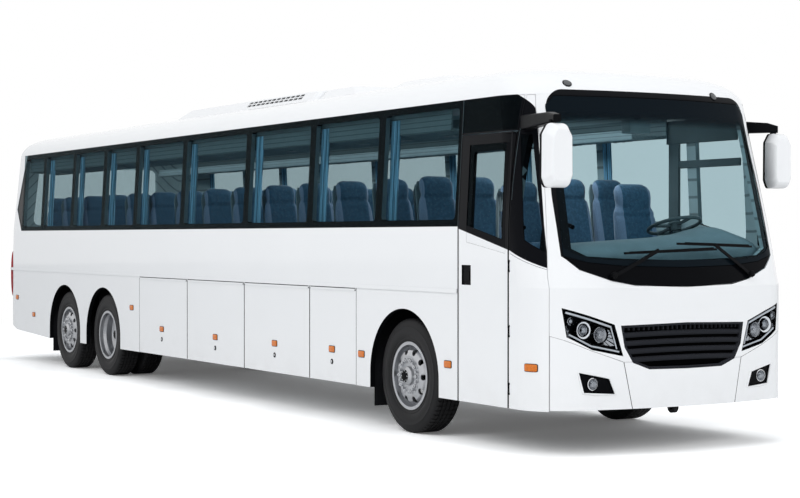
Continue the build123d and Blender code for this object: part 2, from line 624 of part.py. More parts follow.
def engine_door():
    """Top-hinged rear flap over the engine."""
    half = ENGINE_HALF - DOOR_GAP
    leaf = layer(0, LEAF) & box(REAR_X - 50, REAR_SEAM, -half, half, ENGINE_FOOT, ENGINE_HINGE_Z)
    leaf -= layer(5.0, LEAF + 10.0) & box(REAR_X - 50, REAR_SEAM, -half + 60, half - 60, ENGINE_FOOT + 60, 1400.0)
    for k in range(6):
        z = 760.0 + 55.0 * k
        leaf -= box(REAR_X - 50, REAR_SEAM, -400.0, 400.0, z, z + 22.0)
    leaf -= rod("Y", (ENGINE_HINGE_X, 0, ENGINE_HINGE_Z), KNUCKLE_R + 5.5, 2 * half + 10)
    for y in ENGINE_HINGES_Y:
        leaf += box(ENGINE_HINGE_X - KNUCKLE_R, ENGINE_HINGE_X + KNUCKLE_R, y - 48, y + 48,
                    ENGINE_HINGE_Z - 20.0, ENGINE_HINGE_Z)
        leaf += rod("Y", (ENGINE_HINGE_X, y, ENGINE_HINGE_Z), KNUCKLE_R, 96.0)
        leaf -= rod("Y", (ENGINE_HINGE_X, y, ENGINE_HINGE_Z), HINGE_R + PIN_FIT, 400.0)
    return leaf


def rear_bumper():
    """Wrap-round rear bumper below the engine door."""
    zone = box(REAR_X - 50, REAR_SEAM - SEAT_GAP, -SIDE_FAR, SIDE_FAR, 400.0, REAR_BUMPER_TOP - SEAT_GAP)
    return (layer(0, WALL) & zone) - prism_y(SKIRT, -SIDE_FAR, SIDE_FAR)


def rear_glass():
    zone = soft_prism_x(rear_outline(0.4), 120.0, REAR_X - 100, REAR_SEAM + 200)
    return layer(0, PANE) & zone


def tail_lamps():
    out = []
    for s in (-1, 1):
        y = sorted((s * (TAIL_Y + JOINT_GAP), s * SIDE_FAR))
        zone = box(REAR_X - 50, REAR_X + 100.0 - JOINT_GAP, *y, TAIL_LOW + JOINT_GAP, TAIL_HIGH - JOINT_GAP)
        out.append(layer(1.0, TAIL_T - SEAT_GAP) & zone)
    return out


# ---------------------------------------------------------------- wheels
HAND_HOLES = 10
STUDS = 10


def ring_of(profile):
    """Closed (radius, width) profile turned about the wheel axis, which lies along Y."""
    face = make_face(Polyline(*[(r, w, 0) for r, w in profile], close=True))
    return revolve(face, Axis.Y, 360)


def place(solid, y_out, s):
    """Move a wheel piece built from its outer face inward to its side of the coach."""
    if s > 0:
        return Pos(0, y_out, 0) * solid
    return Pos(0, -y_out, 0) * mirror(solid, about=Plane.XZ)


def barrel():
    """Rim barrel with bead flanges and a drop centre, as a (radius, depth) profile."""
    w = TYRE_W
    r = RIM_R
    return [(r + 16, -14.0), (r + 16, -21.0), (r, -25.0), (r, -60.0), (r - 16, -90.0), (r - 16, -w + 100.0),
            (r, -w + 60.0), (r, -w + 25.0), (r + 16, -w + 21.0), (r + 16, -w + 14.0), (r - 12, -w + 14.0),
            (r - 12, -w + 60.0), (r - 28, -w + 96.0), (r - 28, -94.0), (r - 14, -58.0), (r - 12, -14.0)]


def hand_holed(web, d):
    """Wheel disc turned from its web profile, with its ring of round hand holes."""
    holes = []
    for k in range(HAND_HOLES):
        holes.append(Rot(0, 360.0 / HAND_HOLES * k, 0) * rod("Y", (RIM_R - 70.0, -d, 0), 27.0, 200.0))
    return ring_of(web).cut(*holes)


def rim(dish, hub_out, hub_in):
    """Alloy disc wheel with its hub. dish is the depth of the disc behind the outer face."""
    body = ring_of(barrel())
    d = dish
    r = RIM_R
    if d < TYRE_W / 2:
        web = [(178.0, -d), (r - 60, -d - 14.0), (r - 20, -d - 78.0), (r - 20, -d - 112.0),
               (r - 76, -d - 14.0 - DISC)]
    else:
        web = [(178.0, -d), (r - 70, -d + 10.0), (r - 20, -d + 112.0), (r - 20, -d + 82.0),
               (r - 62, -d + 12.0 - DISC)]
    body += hand_holed(web + [(178.0, -d - DISC), (60.0, -d - DISC), (60.0, -d)], d)
    cap = [(0.0, -d + hub_out), (58.0, -d + hub_out), (82.0, -d + hub_out - 22.0), (88.0, -d - 1.0), (118.0, -d - 1.0),
           (118.0, -d - 21.0), (104.0, -d - 24.0), (104.0, -d - hub_in), (HUB_BORE / 2, -d - hub_in),
           (HUB_BORE / 2, -d), (0.0, -d)]
    body += ring_of(cap)
    for k in range(STUDS):
        a = 360.0 / STUDS * (k + 0.5)
        body += Rot(0, a, 0) * rod("Y", (142.0, -d + 10.0, 0), 13.0, 24.0)
    return body


def inner_rim(dish):
    """Inner wheel of a twin pair: the same barrel with its disc turned round."""
    d = dish
    r = RIM_R
    web = [(124.0, -d), (178.0, -d), (r - 60, -d - 14.0), (r - 8, -d - 62.0), (r - 8, -d - 94.0),
           (r - 76, -d - 14.0 - DISC), (178.0, -d - DISC), (124.0, -d - DISC)]
    return ring_of(barrel()) + hand_holed(web, d)


FRONT_DISH = 10.0
DRIVE_DISH = 262.0
DISC = 22.0
HUB_IN = 95.0
TWIN_HUB_IN = 60.0
END_PLAY = 6.0
SPINDLE_R = HUB_BORE / 2 - SEAT_GAP


def wheel_set(name, x, s, tyre, wheel, twin=None):
    """Tyres and wheels of one axle end. twin is the inner wheel of a twin pair."""
    at = Pos(x, 0, TYRE_R)
    pairs = [(tyre, TYRE_FACE), (tyre, TYRE_FACE - TWIN_PITCH)][: 2 if twin else 1]
    save("tyre_" + name, *[at * place(t, y, s) for t, y in pairs])
    pairs = [(wheel, TYRE_FACE)] + ([(twin, TYRE_FACE - TWIN_PITCH)] if twin else [])
    save("wheel_" + name, *[at * place(w, y, s) for w, y in pairs])


TWIN_DISC = DRIVE_DISH + DISC + SEAT_GAP - TWIN_PITCH


def tyre_ring():
    w = TYRE_W
    inner = RIM_R + SEAT_GAP
    h = TYRE_R - inner
    half = [(inner, 25.3), (inner + 18.0, 21.3), (inner + 0.30 * h, 4.0), (inner + 0.52 * h, 0.0),
            (inner + 0.80 * h, 8.0), (TYRE_R - 12.0, 22.0), (TYRE_R, 38.0)]
    return ring_of([(r, -d) for r, d in half] + [(r, -w + d) for r, d in reversed(half)])


# ---------------------------------------------------------------- running gear
RAIL_Y = 440.0
RAIL_W = 80.0
RAIL_IN = RAIL_Y - RAIL_W / 2
RAIL_Z0 = 640.0
RAIL_Z1 = 820.0
RAIL_REAR = REAR_X + 240.0
RAIL_FRONT = FRONT_X - 220.0
CROSS_X = [REAR_X + 300.0, REAR_X + 1700.0, -3830.0, -2420.0, -473.0, 1021.0, 2506.0, 3560.0, 5050.0, FRONT_X - 300.0]


CROSS_W = 60.0
JACK_XS = [3300.0, -2000.0]  # jacking pads under the rails
JACK_PAD = 140.0
JACK_DROP = 15.0
EYE_T = 40.0
EYE_R = 48.0
EYE_BORE = 22.0
TOW_EYES = [(FRONT_X - 180.0, 350.0), (REAR_X + 150.0, 470.0)]   # (x, z) at the front and the rear


def chassis():
    """Ladder frame: two box rails with jacking pads, bolted cross members and towing eyes."""
    out = []
    for s in (-1, 1):
        y0, y1 = sorted((s * RAIL_IN, s * (RAIL_IN + RAIL_W)))
        rail = box(RAIL_REAR, RAIL_FRONT, y0, y1, RAIL_Z0, RAIL_Z1)
        for x in JACK_XS:
            rail += box(x - JACK_PAD / 2, x + JACK_PAD / 2, y0, y1, RAIL_Z0 - JACK_DROP, RAIL_Z0 + 5.0)
        out.append(rail)
    reach = RAIL_IN - SEAT_GAP
    for x in CROSS_X:
        out.append(box(x - CROSS_W / 2, x + CROSS_W / 2, -reach, reach, RAIL_Z0 + 20, RAIL_Z1 - 20))
    front_member, rear_member = -1, 2
    for end, cross_x, (x, foot) in ((front_member, CROSS_X[-1], TOW_EYES[0]), (rear_member, CROSS_X[0], TOW_EYES[1])):
        neck = box(x - EYE_T / 2, x + EYE_T / 2, -EYE_T / 2, EYE_T / 2, foot, RAIL_Z0 + 40.0)
        neck += box(*sorted((x, cross_x)), -EYE_T / 2, EYE_T / 2, RAIL_Z0 + 20.0, RAIL_Z0 + 60.0)
        eye = out[end] + neck + rod("Y", (x, 0, foot), EYE_R, EYE_T)
        out[end] = eye - rod("Y", (x, 0, foot), EYE_BORE, 2 * EYE_T)
    return out


KINGPIN_R = 20.0
BEAM_Z = TYRE_R - 76.0


KNEE_Y = KINGPIN_Y - 250.0      # where the beam turns up


def front_axle():
    """Dropped I-beam with upright ends, kingpins and air spring seats."""
    end = KINGPIN_Y - 210.0
    out = box(-45, 45, -end, end, BEAM_Z - 60, BEAM_Z + 60)
    for s in (-1, 1):
        out -= box(s * 10.0 if s > 0 else -60, 60 if s > 0 else -10.0, -KNEE_Y, KNEE_Y, BEAM_Z - 42, BEAM_Z + 42)
    for s in (-1, 1):
        y = s * KINGPIN_Y
        arm = prism_x([(s * KNEE_Y, BEAM_Z - 60), (s * (KNEE_Y + 60), BEAM_Z - 60), (y - s * 70.0, TYRE_R - 55),
                       (y, TYRE_R - 55), (y, TYRE_R + 55), (y - s * 100.0, TYRE_R + 55),
                       (s * KNEE_Y, BEAM_Z + 60)], -40, 40)
        out += arm + rod("Z", (0, y, TYRE_R), 45.0, 110.0)
        out += rod("Z", (0, y, TYRE_R), KINGPIN_R, 190.0)
        out += rod("Z", (0, s * RAIL_Y, BEAM_Z + 70), 95.0, 60.0)
    return Pos(FRONT_AXLE, 0, 0) * out


def knuckle(s):
    """Steering knuckle: a fork on the kingpin, the stub axle and the steering arm."""
    z = TYRE_R
    y = KINGPIN_Y
    out = box(-40, 40, y + 52, y + 84, z - 100, z + 100)
    for end in (-1, 1):
        zc = z + end * 80.0
        out += box(-40, 40, y, y + 60, zc - 19, zc + 19) + rod("Z", (0, y, zc), 40.0, 38.0)
    out += box(-150, 0, y - 20, y + 14, z - 97, z - 70)
    out -= rod("Z", (0, y, z), KINGPIN_R + SEAT_GAP, 400.0)
    end = TYRE_FACE - FRONT_DISH - END_PLAY
    out += rod("Y", (0, (y + 60 + end) / 2, z), SPINDLE_R, end - y - 60)
    out = Pos(FRONT_AXLE, 0, 0) * out
    return out if s > 0 else other_side(out)


def drive_axle():
    """Banjo axle casing with its stub ends and air spring seats."""
    end = TYRE_FACE - DRIVE_DISH - END_PLAY
    out = rod("Y", (0, 0, TYRE_R), 62.0, 2 * (TYRE_FACE - 360.0))
    out += rod("Y", (0, 0, TYRE_R), SPINDLE_R, 2 * end)
    out += rod("X", (10, 0, TYRE_R), 175.0, 170.0) + rod("X", (130, 0, TYRE_R), 60.0, 120.0)
    for s in (-1, 1):
        out += rod("Z", (0, s * RAIL_Y, TYRE_R + 55), 95.0, 70.0)
    return Pos(DRIVE_AXLE, 0, 0) * out


def tag_axle():
    """Straight trailing axle beam with stub ends."""
    end = TYRE_FACE - FRONT_DISH - END_PLAY
    half = TYRE_FACE - 130.0
    out = box(-50, 50, -half, half, TYRE_R - 50, TYRE_R + 50)
    out += rod("Y", (0, 0, TYRE_R), SPINDLE_R, 2 * end)
    for s in (-1, 1):
        out += rod("Z", (0, s * RAIL_Y, TYRE_R + 60), 95.0, 60.0)
    return Pos(TAG_AXLE, 0, 0) * out


def air_springs():
    """Rolling-lobe bellows between each axle and the frame rails."""
    out = []
    for x, z0 in ((FRONT_AXLE, BEAM_Z + 100), (DRIVE_AXLE, TYRE_R + 90), (TAG_AXLE, TYRE_R + 90)):
        for s in (-1, 1):
            z1 = RAIL_Z0 - SEAT_GAP
            z0b = z0 + SEAT_GAP
            out.append(rod("Z", (x, s * RAIL_Y, (z0b + z1) / 2), 105.0, z1 - z0b))
    return out


ENGINE_X = (REAR_X + 360.0, REAR_X + 1440.0)
ENGINE_Z = (500.0, 1150.0)


def engine():
    half = RAIL_IN - SEAT_GAP
    return box(*ENGINE_X, -half, half, *ENGINE_Z)


# ---------------------------------------------------------------- floors and liners
IN_Y = HALF_WIDTH - WALL - SEAT_GAP
LINER_IN = TYRE_FACE - TWIN_PITCH - TYRE_W - 62.0
LINER_TOP = 2 * TYRE_R + 138.0
LINER_HALF = ARCH_R + 15.0


STEP_IN = -(RAIL_Y + RAIL_W / 2 + 40.0)
LAMP_DEPTH = 90.0


STEP_X0 = 5070.0            # the partition behind the door
STEP_X1 = 6030.0
STEP_T = 30.0
# outer edge and height of each step
TREADS = [(100.0 - HALF_WIDTH, 430.0), (340.0 - HALF_WIDTH, 620.0), (560.0 - HALF_WIDTH, 810.0)]
CAB_FRONT = FRONT_X - 100.0


def floor():
    """Passenger floor, driver's platform, entry steps and the partition behind the door."""
    g = SEAT_GAP
    under = FLOOR_Z - FLOOR_T - g
    platform = box(STEP_X0, STEP_X1, STEP_IN, IN_Y, CAB_Z - STEP_T, CAB_Z)
    ahead = lower_body(LAMP_DEPTH + 6.0)
    out = [
        box(REAR_SEAM + 10.0, STEP_X0 + STEP_T, -IN_Y, IN_Y, FLOOR_Z - FLOOR_T, FLOOR_Z),
        platform,
        ahead & box(STEP_X1 + g, CAB_FRONT, -HALF_WIDTH, HALF_WIDTH, CAB_Z - STEP_T, CAB_Z),
        box(STEP_X0, STEP_X0 + STEP_T, STEP_IN, IN_Y, CAB_Z + g, under),
        box(STEP_X0, STEP_X0 + STEP_T, -IN_Y, STEP_IN - g, 400.0, under),
        box(STEP_X1 - STEP_T, STEP_X1, TREADS[0][0], STEP_IN - g, 400.0, CAB_Z),
    ]
    x0 = STEP_X0 + STEP_T + g
    x1 = STEP_X1 - STEP_T - g
    out.append(box(x0, x1, STEP_IN, STEP_IN + STEP_T, 400.0, CAB_Z - STEP_T - g))
    for (y, z), far in zip(TREADS, [TREADS[1][0], TREADS[2][0], STEP_IN]):
        out.append(box(x0, x1, y, far - g, z - STEP_T, z))
    for y, (_, low), (_, high) in zip([TREADS[1][0], TREADS[2][0]], TREADS[:2], TREADS[1:]):
        out.append(box(x0, x1, y, y + 20.0, low + g, high - STEP_T - g))
    return out


def bay_pan(s):
    """Luggage floor, its inner wall and the bulkheads between the bays, on one side."""
    x0 = BAYS[0][0] - 20
    x1 = BAYS[-1][1] + 20
    y0 = RAIL_Y + RAIL_W / 2 + SEAT_GAP
    out = box(x0, x1, y0, IN_Y - 2.0, BAY_Z - PLATE, BAY_Z) + box(x0, x1, y0, y0 + PLATE, BAY_Z - PLATE, FLOOR_Z - FLOOR_T)
    for x in [x0 + 2.5] + BAY_SEAMS[1:-1] + [x1 - 2.5]:
        out += box(x - 2.5, x + 2.5, y0, IN_Y, BAY_Z - PLATE, FLOOR_Z - FLOOR_T)
    return out if s > 0 else other_side(out)


def arch_liner(x0, x1, s):
    """Open-bottomed box over a wheel opening: a lid, an inner plate and two end plates."""
    foot = 380.0
    under = LINER_TOP - PLATE - SEAT_GAP
    out = [box(x0, x1, LINER_IN, IN_Y, LINER_TOP - PLATE, LINER_TOP)]
    inner = box(x0, x1, LINER_IN, LINER_IN + PLATE, foot, under)
    for x in (FRONT_AXLE, DRIVE_AXLE, TAG_AXLE):
        inner -= box(x - 130.0, x + 130.0, LINER_IN - 10, LINER_IN + 10, 300.0, TYRE_R + 130.0)
    out.append(inner)
    for x in (x0, x1 - PLATE):
        out.append(box(x, x + PLATE, LINER_IN + PLATE + SEAT_GAP, IN_Y, foot, under))
    return out if s > 0 else [other_side(o) for o in out]


def mud_flaps():
    """Rubber flaps behind the front and the rearmost wheels, hung on the arch liners."""
    out = []
    for x in (FRONT_AXLE - LINER_HALF, TAG_AXLE - LINER_HALF):
        for s in (-1, 1):
            y = sorted((s * (TYRE_FACE - 350.0), s * (IN_Y - 5)))
            out.append(box(x - 6.0 - SEAT_GAP, x - SEAT_GAP, y[0], y[1], 190.0, 620.0))
    return out


# ---------------------------------------------------------------- cabin
ROW_PITCH = 780.0
FIRST_ROW = 4350.0
BENCH_ROOM = 1190.0         # from the last seat row to the rear face
ROWS = int((FIRST_ROW - REAR_X - BENCH_ROOM) // ROW_PITCH)
SEAT_W = 440.0
SEAT_PAD = [(83.0, 330.0), (470.0, 330.0), (490.0, 400.0), (470.0, 455.0), (110.0, 440.0)]
SEAT_BACK = [(-25.0, 330.0), (80.0, 330.0), (106.0, 440.0), (-40.0, 1060.0), (-90.0, 1075.0), (-140.0, 1050.0)]
SEAT_RAIL = (0.0, 420.0)    # the frame under a seat, from its reference point forward
AISLE = 290.0               # half the gangway
BENCH_YS = [-900.0, -450.0, 0.0, 450.0, 900.0]
BENCH_HALF = 1100.0
SEAT_YS = [AISLE + SEAT_W / 2, AISLE + 1.5 * SEAT_W + 6.0]


def seat(x, y, z, w=SEAT_W):
    """One reclined coach seat: a cushion and a back."""
    out = []
    for outline in (SEAT_PAD, SEAT_BACK):
        points = [(x + a, z + b) for a, b in outline]
        out.append(soft_prism_y(points, 24.0, y - w / 2, y + w / 2))
    return out


def seat_block(s):
    out = []
    for k in range(ROWS):
        for y in SEAT_YS:
            out.extend(seat(FIRST_ROW - ROW_PITCH * k, s * y, FLOOR_Z))
    return out


def seat_frames(s):
    """Pedestal and cross rail under each pair of seats."""
    out = []
    y0 = AISLE + 10.0
    y1 = AISLE + 2 * SEAT_W
    for k in range(ROWS):
        x = FIRST_ROW - ROW_PITCH * k
        rail = box(x + SEAT_RAIL[0], x + SEAT_RAIL[1], y0, y1, FLOOR_Z + 290, FLOOR_Z + 330 - SEAT_GAP)
        leg = box(x + 120, x + 360, y0 + 190, y0 + 240, FLOOR_Z + SEAT_GAP, FLOOR_Z + 300)
        one = rail + leg
        out.append(one if s > 0 else other_side(one))
    return out


def rear_bench():
    x = FIRST_ROW - ROW_PITCH * ROWS - 20.0
    out = []
    for y in BENCH_YS:
        out.extend(seat(x, y, FLOOR_Z))
    return out


def bench_frame():
    x = FIRST_ROW - ROW_PITCH * ROWS - 20.0
    return box(x + SEAT_RAIL[0], x + SEAT_RAIL[1], -BENCH_HALF, BENCH_HALF, FLOOR_Z + SEAT_GAP, FLOOR_Z + 330 - SEAT_GAP)


DRIVER = (5330.0, 480.0)


def driver_seat():
    x, y = DRIVER
    return seat(x, y, CAB_Z + 60.0, 500.0)


def driver_pedestal():
    x, y = DRIVER
    return box(x + SEAT_RAIL[0], x + SEAT_RAIL[1], y - 150, y + 150, CAB_Z + SEAT_GAP, CAB_Z + 390.0 - SEAT_GAP)


WHEEL_C = (5850.0, 480.0, 1830.0)
COLUMN = 18.0


def column_line():
    """Steering column from the wheel hub down to the platform."""
    x, y, z = WHEEL_C
    lean = math.radians(COLUMN)
    length = (z - CAB_Z) / math.cos(lean)
    mid = (x + math.sin(lean) * length / 2, y, z - math.cos(lean) * length / 2)
    return mid, length


def steering_wheel():
    x, y, z = WHEEL_C
    mid, length = column_line()
    rim_ring = Torus(225.0, 15.0)
    spokes = box(-220, 220, -14, 14, -14, 6) + box(-14, 14, -220, 14, -14, 6) + Pos(0, 0, -20) * Cylinder(55.0, 60.0)
    wheel = Pos(x, y, z) * Rot(0, -COLUMN, 0) * (rim_ring + spokes)
    post = Pos(*mid) * Rot(0, -COLUMN, 0) * Cylinder(32.0, length)
    return (wheel + post) - box(5000, 7000, -2000, 2000, 0, CAB_Z + SEAT_GAP)


# front view of the hood over the instruments, and the side view of the dashboard and of the hood
HOOD = [(-490.0, 1380.0), (-440.0, 1475.0), (-300.0, 1565.0), (-60.0, 1655.0), (240.0, 1700.0), (560.0, 1700.0),
        (790.0, 1650.0), (930.0, 1565.0), (1000.0, 1475.0), (1040.0, 1380.0)]
DASH = [(6150.0, CAB_Z + SEAT_GAP), (6090.0, 1330.0), (6070.0, 1500.0), (6130.0, 1575.0), (6300.0, 1560.0),
        (6700.0, 1490.0), (6700.0, CAB_Z + SEAT_GAP)]
HOOD_SIDE = [(6090.0, 1450.0), (6010.0, 1680.0), (6040.0, 1712.0), (6150.0, 1700.0), (6330.0, 1540.0), (6330.0, 1450.0)]


def dashboard():
    """Dashboard across the front, with a broad hood ahead of the wheel."""
    mid, length = column_line()
    block = prism_y(DASH, -HALF_WIDTH, HALF_WIDTH)
    hood = soft_prism_x(HOOD, 40.0, 5900.0, 6500.0) & soft_prism_y(HOOD_SIDE, 24.0, -600.0, 1100.0)
    out = (block + hood) & lower_body(LAMP_DEPTH + 6.0)
    return out - Pos(*mid) * Rot(0, -COLUMN, 0) * Cylinder(40.0, length + 200)


RACK_OUT = IN_Y - 69.7      # outer edge of the luggage racks
RACK_D = 420.0
RACK_Z = 2440.0
RACK_FRONT = 4900.0
RACK_REAR = REAR_X + 700.0
CURTAIN_OUT = IN_Y - 14.7
CURTAIN_T = 20.0
CURTAIN_LEAN = 45.0
CURTAIN_Z = (1880.0, 2780.0)
CURTAIN_HALF = 70.0


def racks(s):
    """Overhead luggage rack along one side: a shelf with a lip, hung on straps at the pillars."""
    far = RACK_OUT
    near = RACK_OUT - RACK_D
    z = RACK_Z
    out = prism_x([(far, z), (near + 60.0, z - 40.0), (near, z), (near + 20.0, z + 80.0), (near + 40.0, z + 80.0),
                   (near + 40.0, z + 22.0), (far - 20.0, z + 22.0), (far - 20.0, z + 200.0), (far - 8.0, z + 200.0)],
                  RACK_REAR, RACK_FRONT)
    for x in PANE_SEAMS[1:-1]:
        out += box(x - 15, x + 15, far - 30.0, far - 10.0 - SEAT_GAP, z + 10.0, z + 400.0)
        out += box(x - 15, x + 15, far - 30.0, far + 12.0, z + 375.0, z + 400.0)
    return out if s > 0 else other_side(out)


def curtains(s):
    """A gathered curtain beside each pillar."""
    out = []
    y = CURTAIN_OUT
    low, high = CURTAIN_Z
    outline = [(y - CURTAIN_T, low), (y, low), (y - CURTAIN_LEAN, high), (y - CURTAIN_LEAN - CURTAIN_T, high)]
    for x in PANE_SEAMS[1:-1]:
        one = prism_x(outline, x - CURTAIN_HALF, x + CURTAIN_HALF)
        out.append(one if s > 0 else other_side(one))
    return out


# ---------------------------------------------------------------- outside fittings
def roof_shell():
    """Roof cap; the deck carries the air conditioner and two hatches."""
    shell = upper_body(0) - upper_body(WALL)
    return shell


# base and top of each roof fairing: rear x, front x, half width, z
CONDENSER = ((-1930.0, 1750.0, 880.0, 3105.0), (-1640.0, 1735.0, 770.0, 3235.0))
CONDENSER_NOSE = ((1756.0, 2720.0, 860.0, 3105.0), (1762.0, 2440.0, 740.0, 3228.0))
BLOWER = ((2900.0, 4310.0, 760.0, 3115.0), (3080.0, 3950.0, 600.0, 3222.0))
ROOF_HATCH = ((-4560.0, -3400.0, 480.0, 3130.0), (-4480.0, -3480.0, 420.0, 3212.0))
SLOT_ROWS = [3164.0, 3196.0]
SLOT_FIRST = 90.0
SLOT_PITCH = 112.0
SLOTS = 12


def fairing(base, top, radius=90.0):
    """Roof fairing with raked sides, lofted from its foot to its top and cut to sit on the roof."""
    stages = []
    for x0, x1, half, z in (base, top):
        stages.append(Pos((x0 + x1) / 2, 0, z) * RectangleRounded(x1 - x0, 2 * half, radius))
    return loft(stages, ruled=True) - upper_body(-SEAT_GAP)


def condenser():
    """Condenser housing with two rows of air slots on each side."""
    out = fairing(*CONDENSER)
    slots = []
    for z in SLOT_ROWS:
        for k in range(SLOTS):
            x = SLOT_FIRST + SLOT_PITCH * k
            for s in (-1, 1):
                slots.append(box(x, x + 92.0, *sorted((s * 740.0, s * 900.0)), z, z + 22.0))
    return out.cut(*slots)



# side, root of the arm (x, y, z), middle of the head (x, y), top of the head
MIRRORS = {"right": (-1, (6030.0, HALF_WIDTH - 120.0, 2645.0), (FRONT_X + 330.0, HALF_WIDTH + 220.0), 2580.0),
           "left": (1, (5650.0, HALF_WIDTH - 120.0, 2705.0), (FRONT_X - 600.0, HALF_WIDTH + 220.0), 2640.0)}
HEAD_H = 480.0
HEAD_BACK = 44.0            # from the middle of the head to its rear edge
ARM_ROOT = (120.0, 95.0)    # height and thickness of the arm at the body
ARM_KNEE = (86.0, 76.0)
ARM_END = (58.0, 62.0)
HEAD_SHAPE = [(-62.0, 240.0), (62.0, 240.0), (112.0, 160.0), (115.0, -170.0), (84.0, -240.0), (-84.0, -240.0),
              (-115.0, -170.0), (-112.0, 160.0)]


def head_section(x, share):
    """Outline of the mirror housing across the coach, drawn in to a share of its size."""
    corners = [(x, y * share, z * (0.25 + 0.75 * share)) for y, z in HEAD_SHAPE]
    return make_face(FilletPolyline(*corners, radius=30.0 * share, close=True))


FRAME_T = 22.0              # frame of the mirror glass
HEAD_STAGES = [(-HEAD_BACK, 0.98), (0.0, 1.0), (48.0, 0.9), (76.0, 0.72)]


def mirror_head(side):
    """Crowned housing that closes towards the front."""
    s, _, (x, y), top = MIRRORS[side]
    stages = [head_section(a, share) for a, share in HEAD_STAGES]
    return Pos(x, s * y, top - HEAD_H / 2) * loft(stages)


def mirror_arm(side):
    """Boxed arm from the roof rail to above the head, with the frame of the glass behind the head."""
    s, (rx, ry, rz), (hx, hy), top = MIRRORS[side]
    along = Vector(hx - rx, hy - ry, 0)
    sections = []
    for share, z, (h, t) in ((0.0, rz, ARM_ROOT), (0.82, top + 52.0, ARM_KNEE), (1.0, top + 38.0, ARM_END)):
        at = (rx + share * (hx - rx), ry + share * (hy - ry), z)
        sections.append(Plane(origin=at, x_dir=(0, 0, 1), z_dir=along) * RectangleRounded(h, t, 14.0))
    arm = loft(sections, ruled=True)
    back = hx - HEAD_BACK - SEAT_GAP
    frame = extrude(head_section(back, 1.0), amount=FRAME_T, dir=(-1, 0, 0))
    frame -= extrude(head_section(back - FRAME_T, 0.9), amount=8.0, dir=(1, 0, 0))
    arm += Pos(0, hy, top - HEAD_H / 2) * frame
    arm += box(back - FRAME_T - 6.0, back - 3.0, hy - 26.0, hy + 26.0, top - 70.0, top + 30.0)
    out = arm if s > 0 else other_side(arm)
    return out - lower_body(-SEAT_GAP) - upper_body(-SEAT_GAP)


# ---------------------------------------------------------------- wipers
# pivot, end of the arm, near and far end of the blade, as (y, z) in front view
WIPERS = [across([(-690.0, 1425.0), (-244.0, 1628.0), (-560.0, 1603.0), (372.0, 1632.0)]),
          across([(730.0, 1421.0), (355.0, 1668.0), (-40.0, 1678.0), (810.0, 1652.0)])]
ARM_W = 26.0
BLADE_W = 18.0


def strip(a, b, width, near, far):
    """Flat bar between two points of the front view, lying between two distances from the glass."""
    (ya, za), (yb, zb) = a, b
    length = math.hypot(yb - ya, zb - za)
    ny, nz = -(zb - za) / length * width / 2, (yb - ya) / length * width / 2
    outline = [(ya + ny, za + nz), (yb + ny, zb + nz), (yb - ny, zb - nz), (ya - ny, za - nz)]
    return layer(-far, -near) & prism_x(outline, NOSE_BACK, NOSE_FRONT)


def wiper(pivot, elbow, near_end, far_end):
    """One wiper: its pivot boss on the cowl, the arm and the blade on the glass."""
    arm = strip(pivot, elbow, ARM_W, 16.0, 30.0)
    blade = strip(near_end, far_end, BLADE_W, SEAT_GAP, 22.0)
    y, z = pivot
    boss = layer(-36.0, -SEAT_GAP) & rod("X", (FRONT_X, y, z), 22.0, 600.0)
    return arm + blade + boss


def wipers():
    return [wiper(*points) for points in WIPERS]


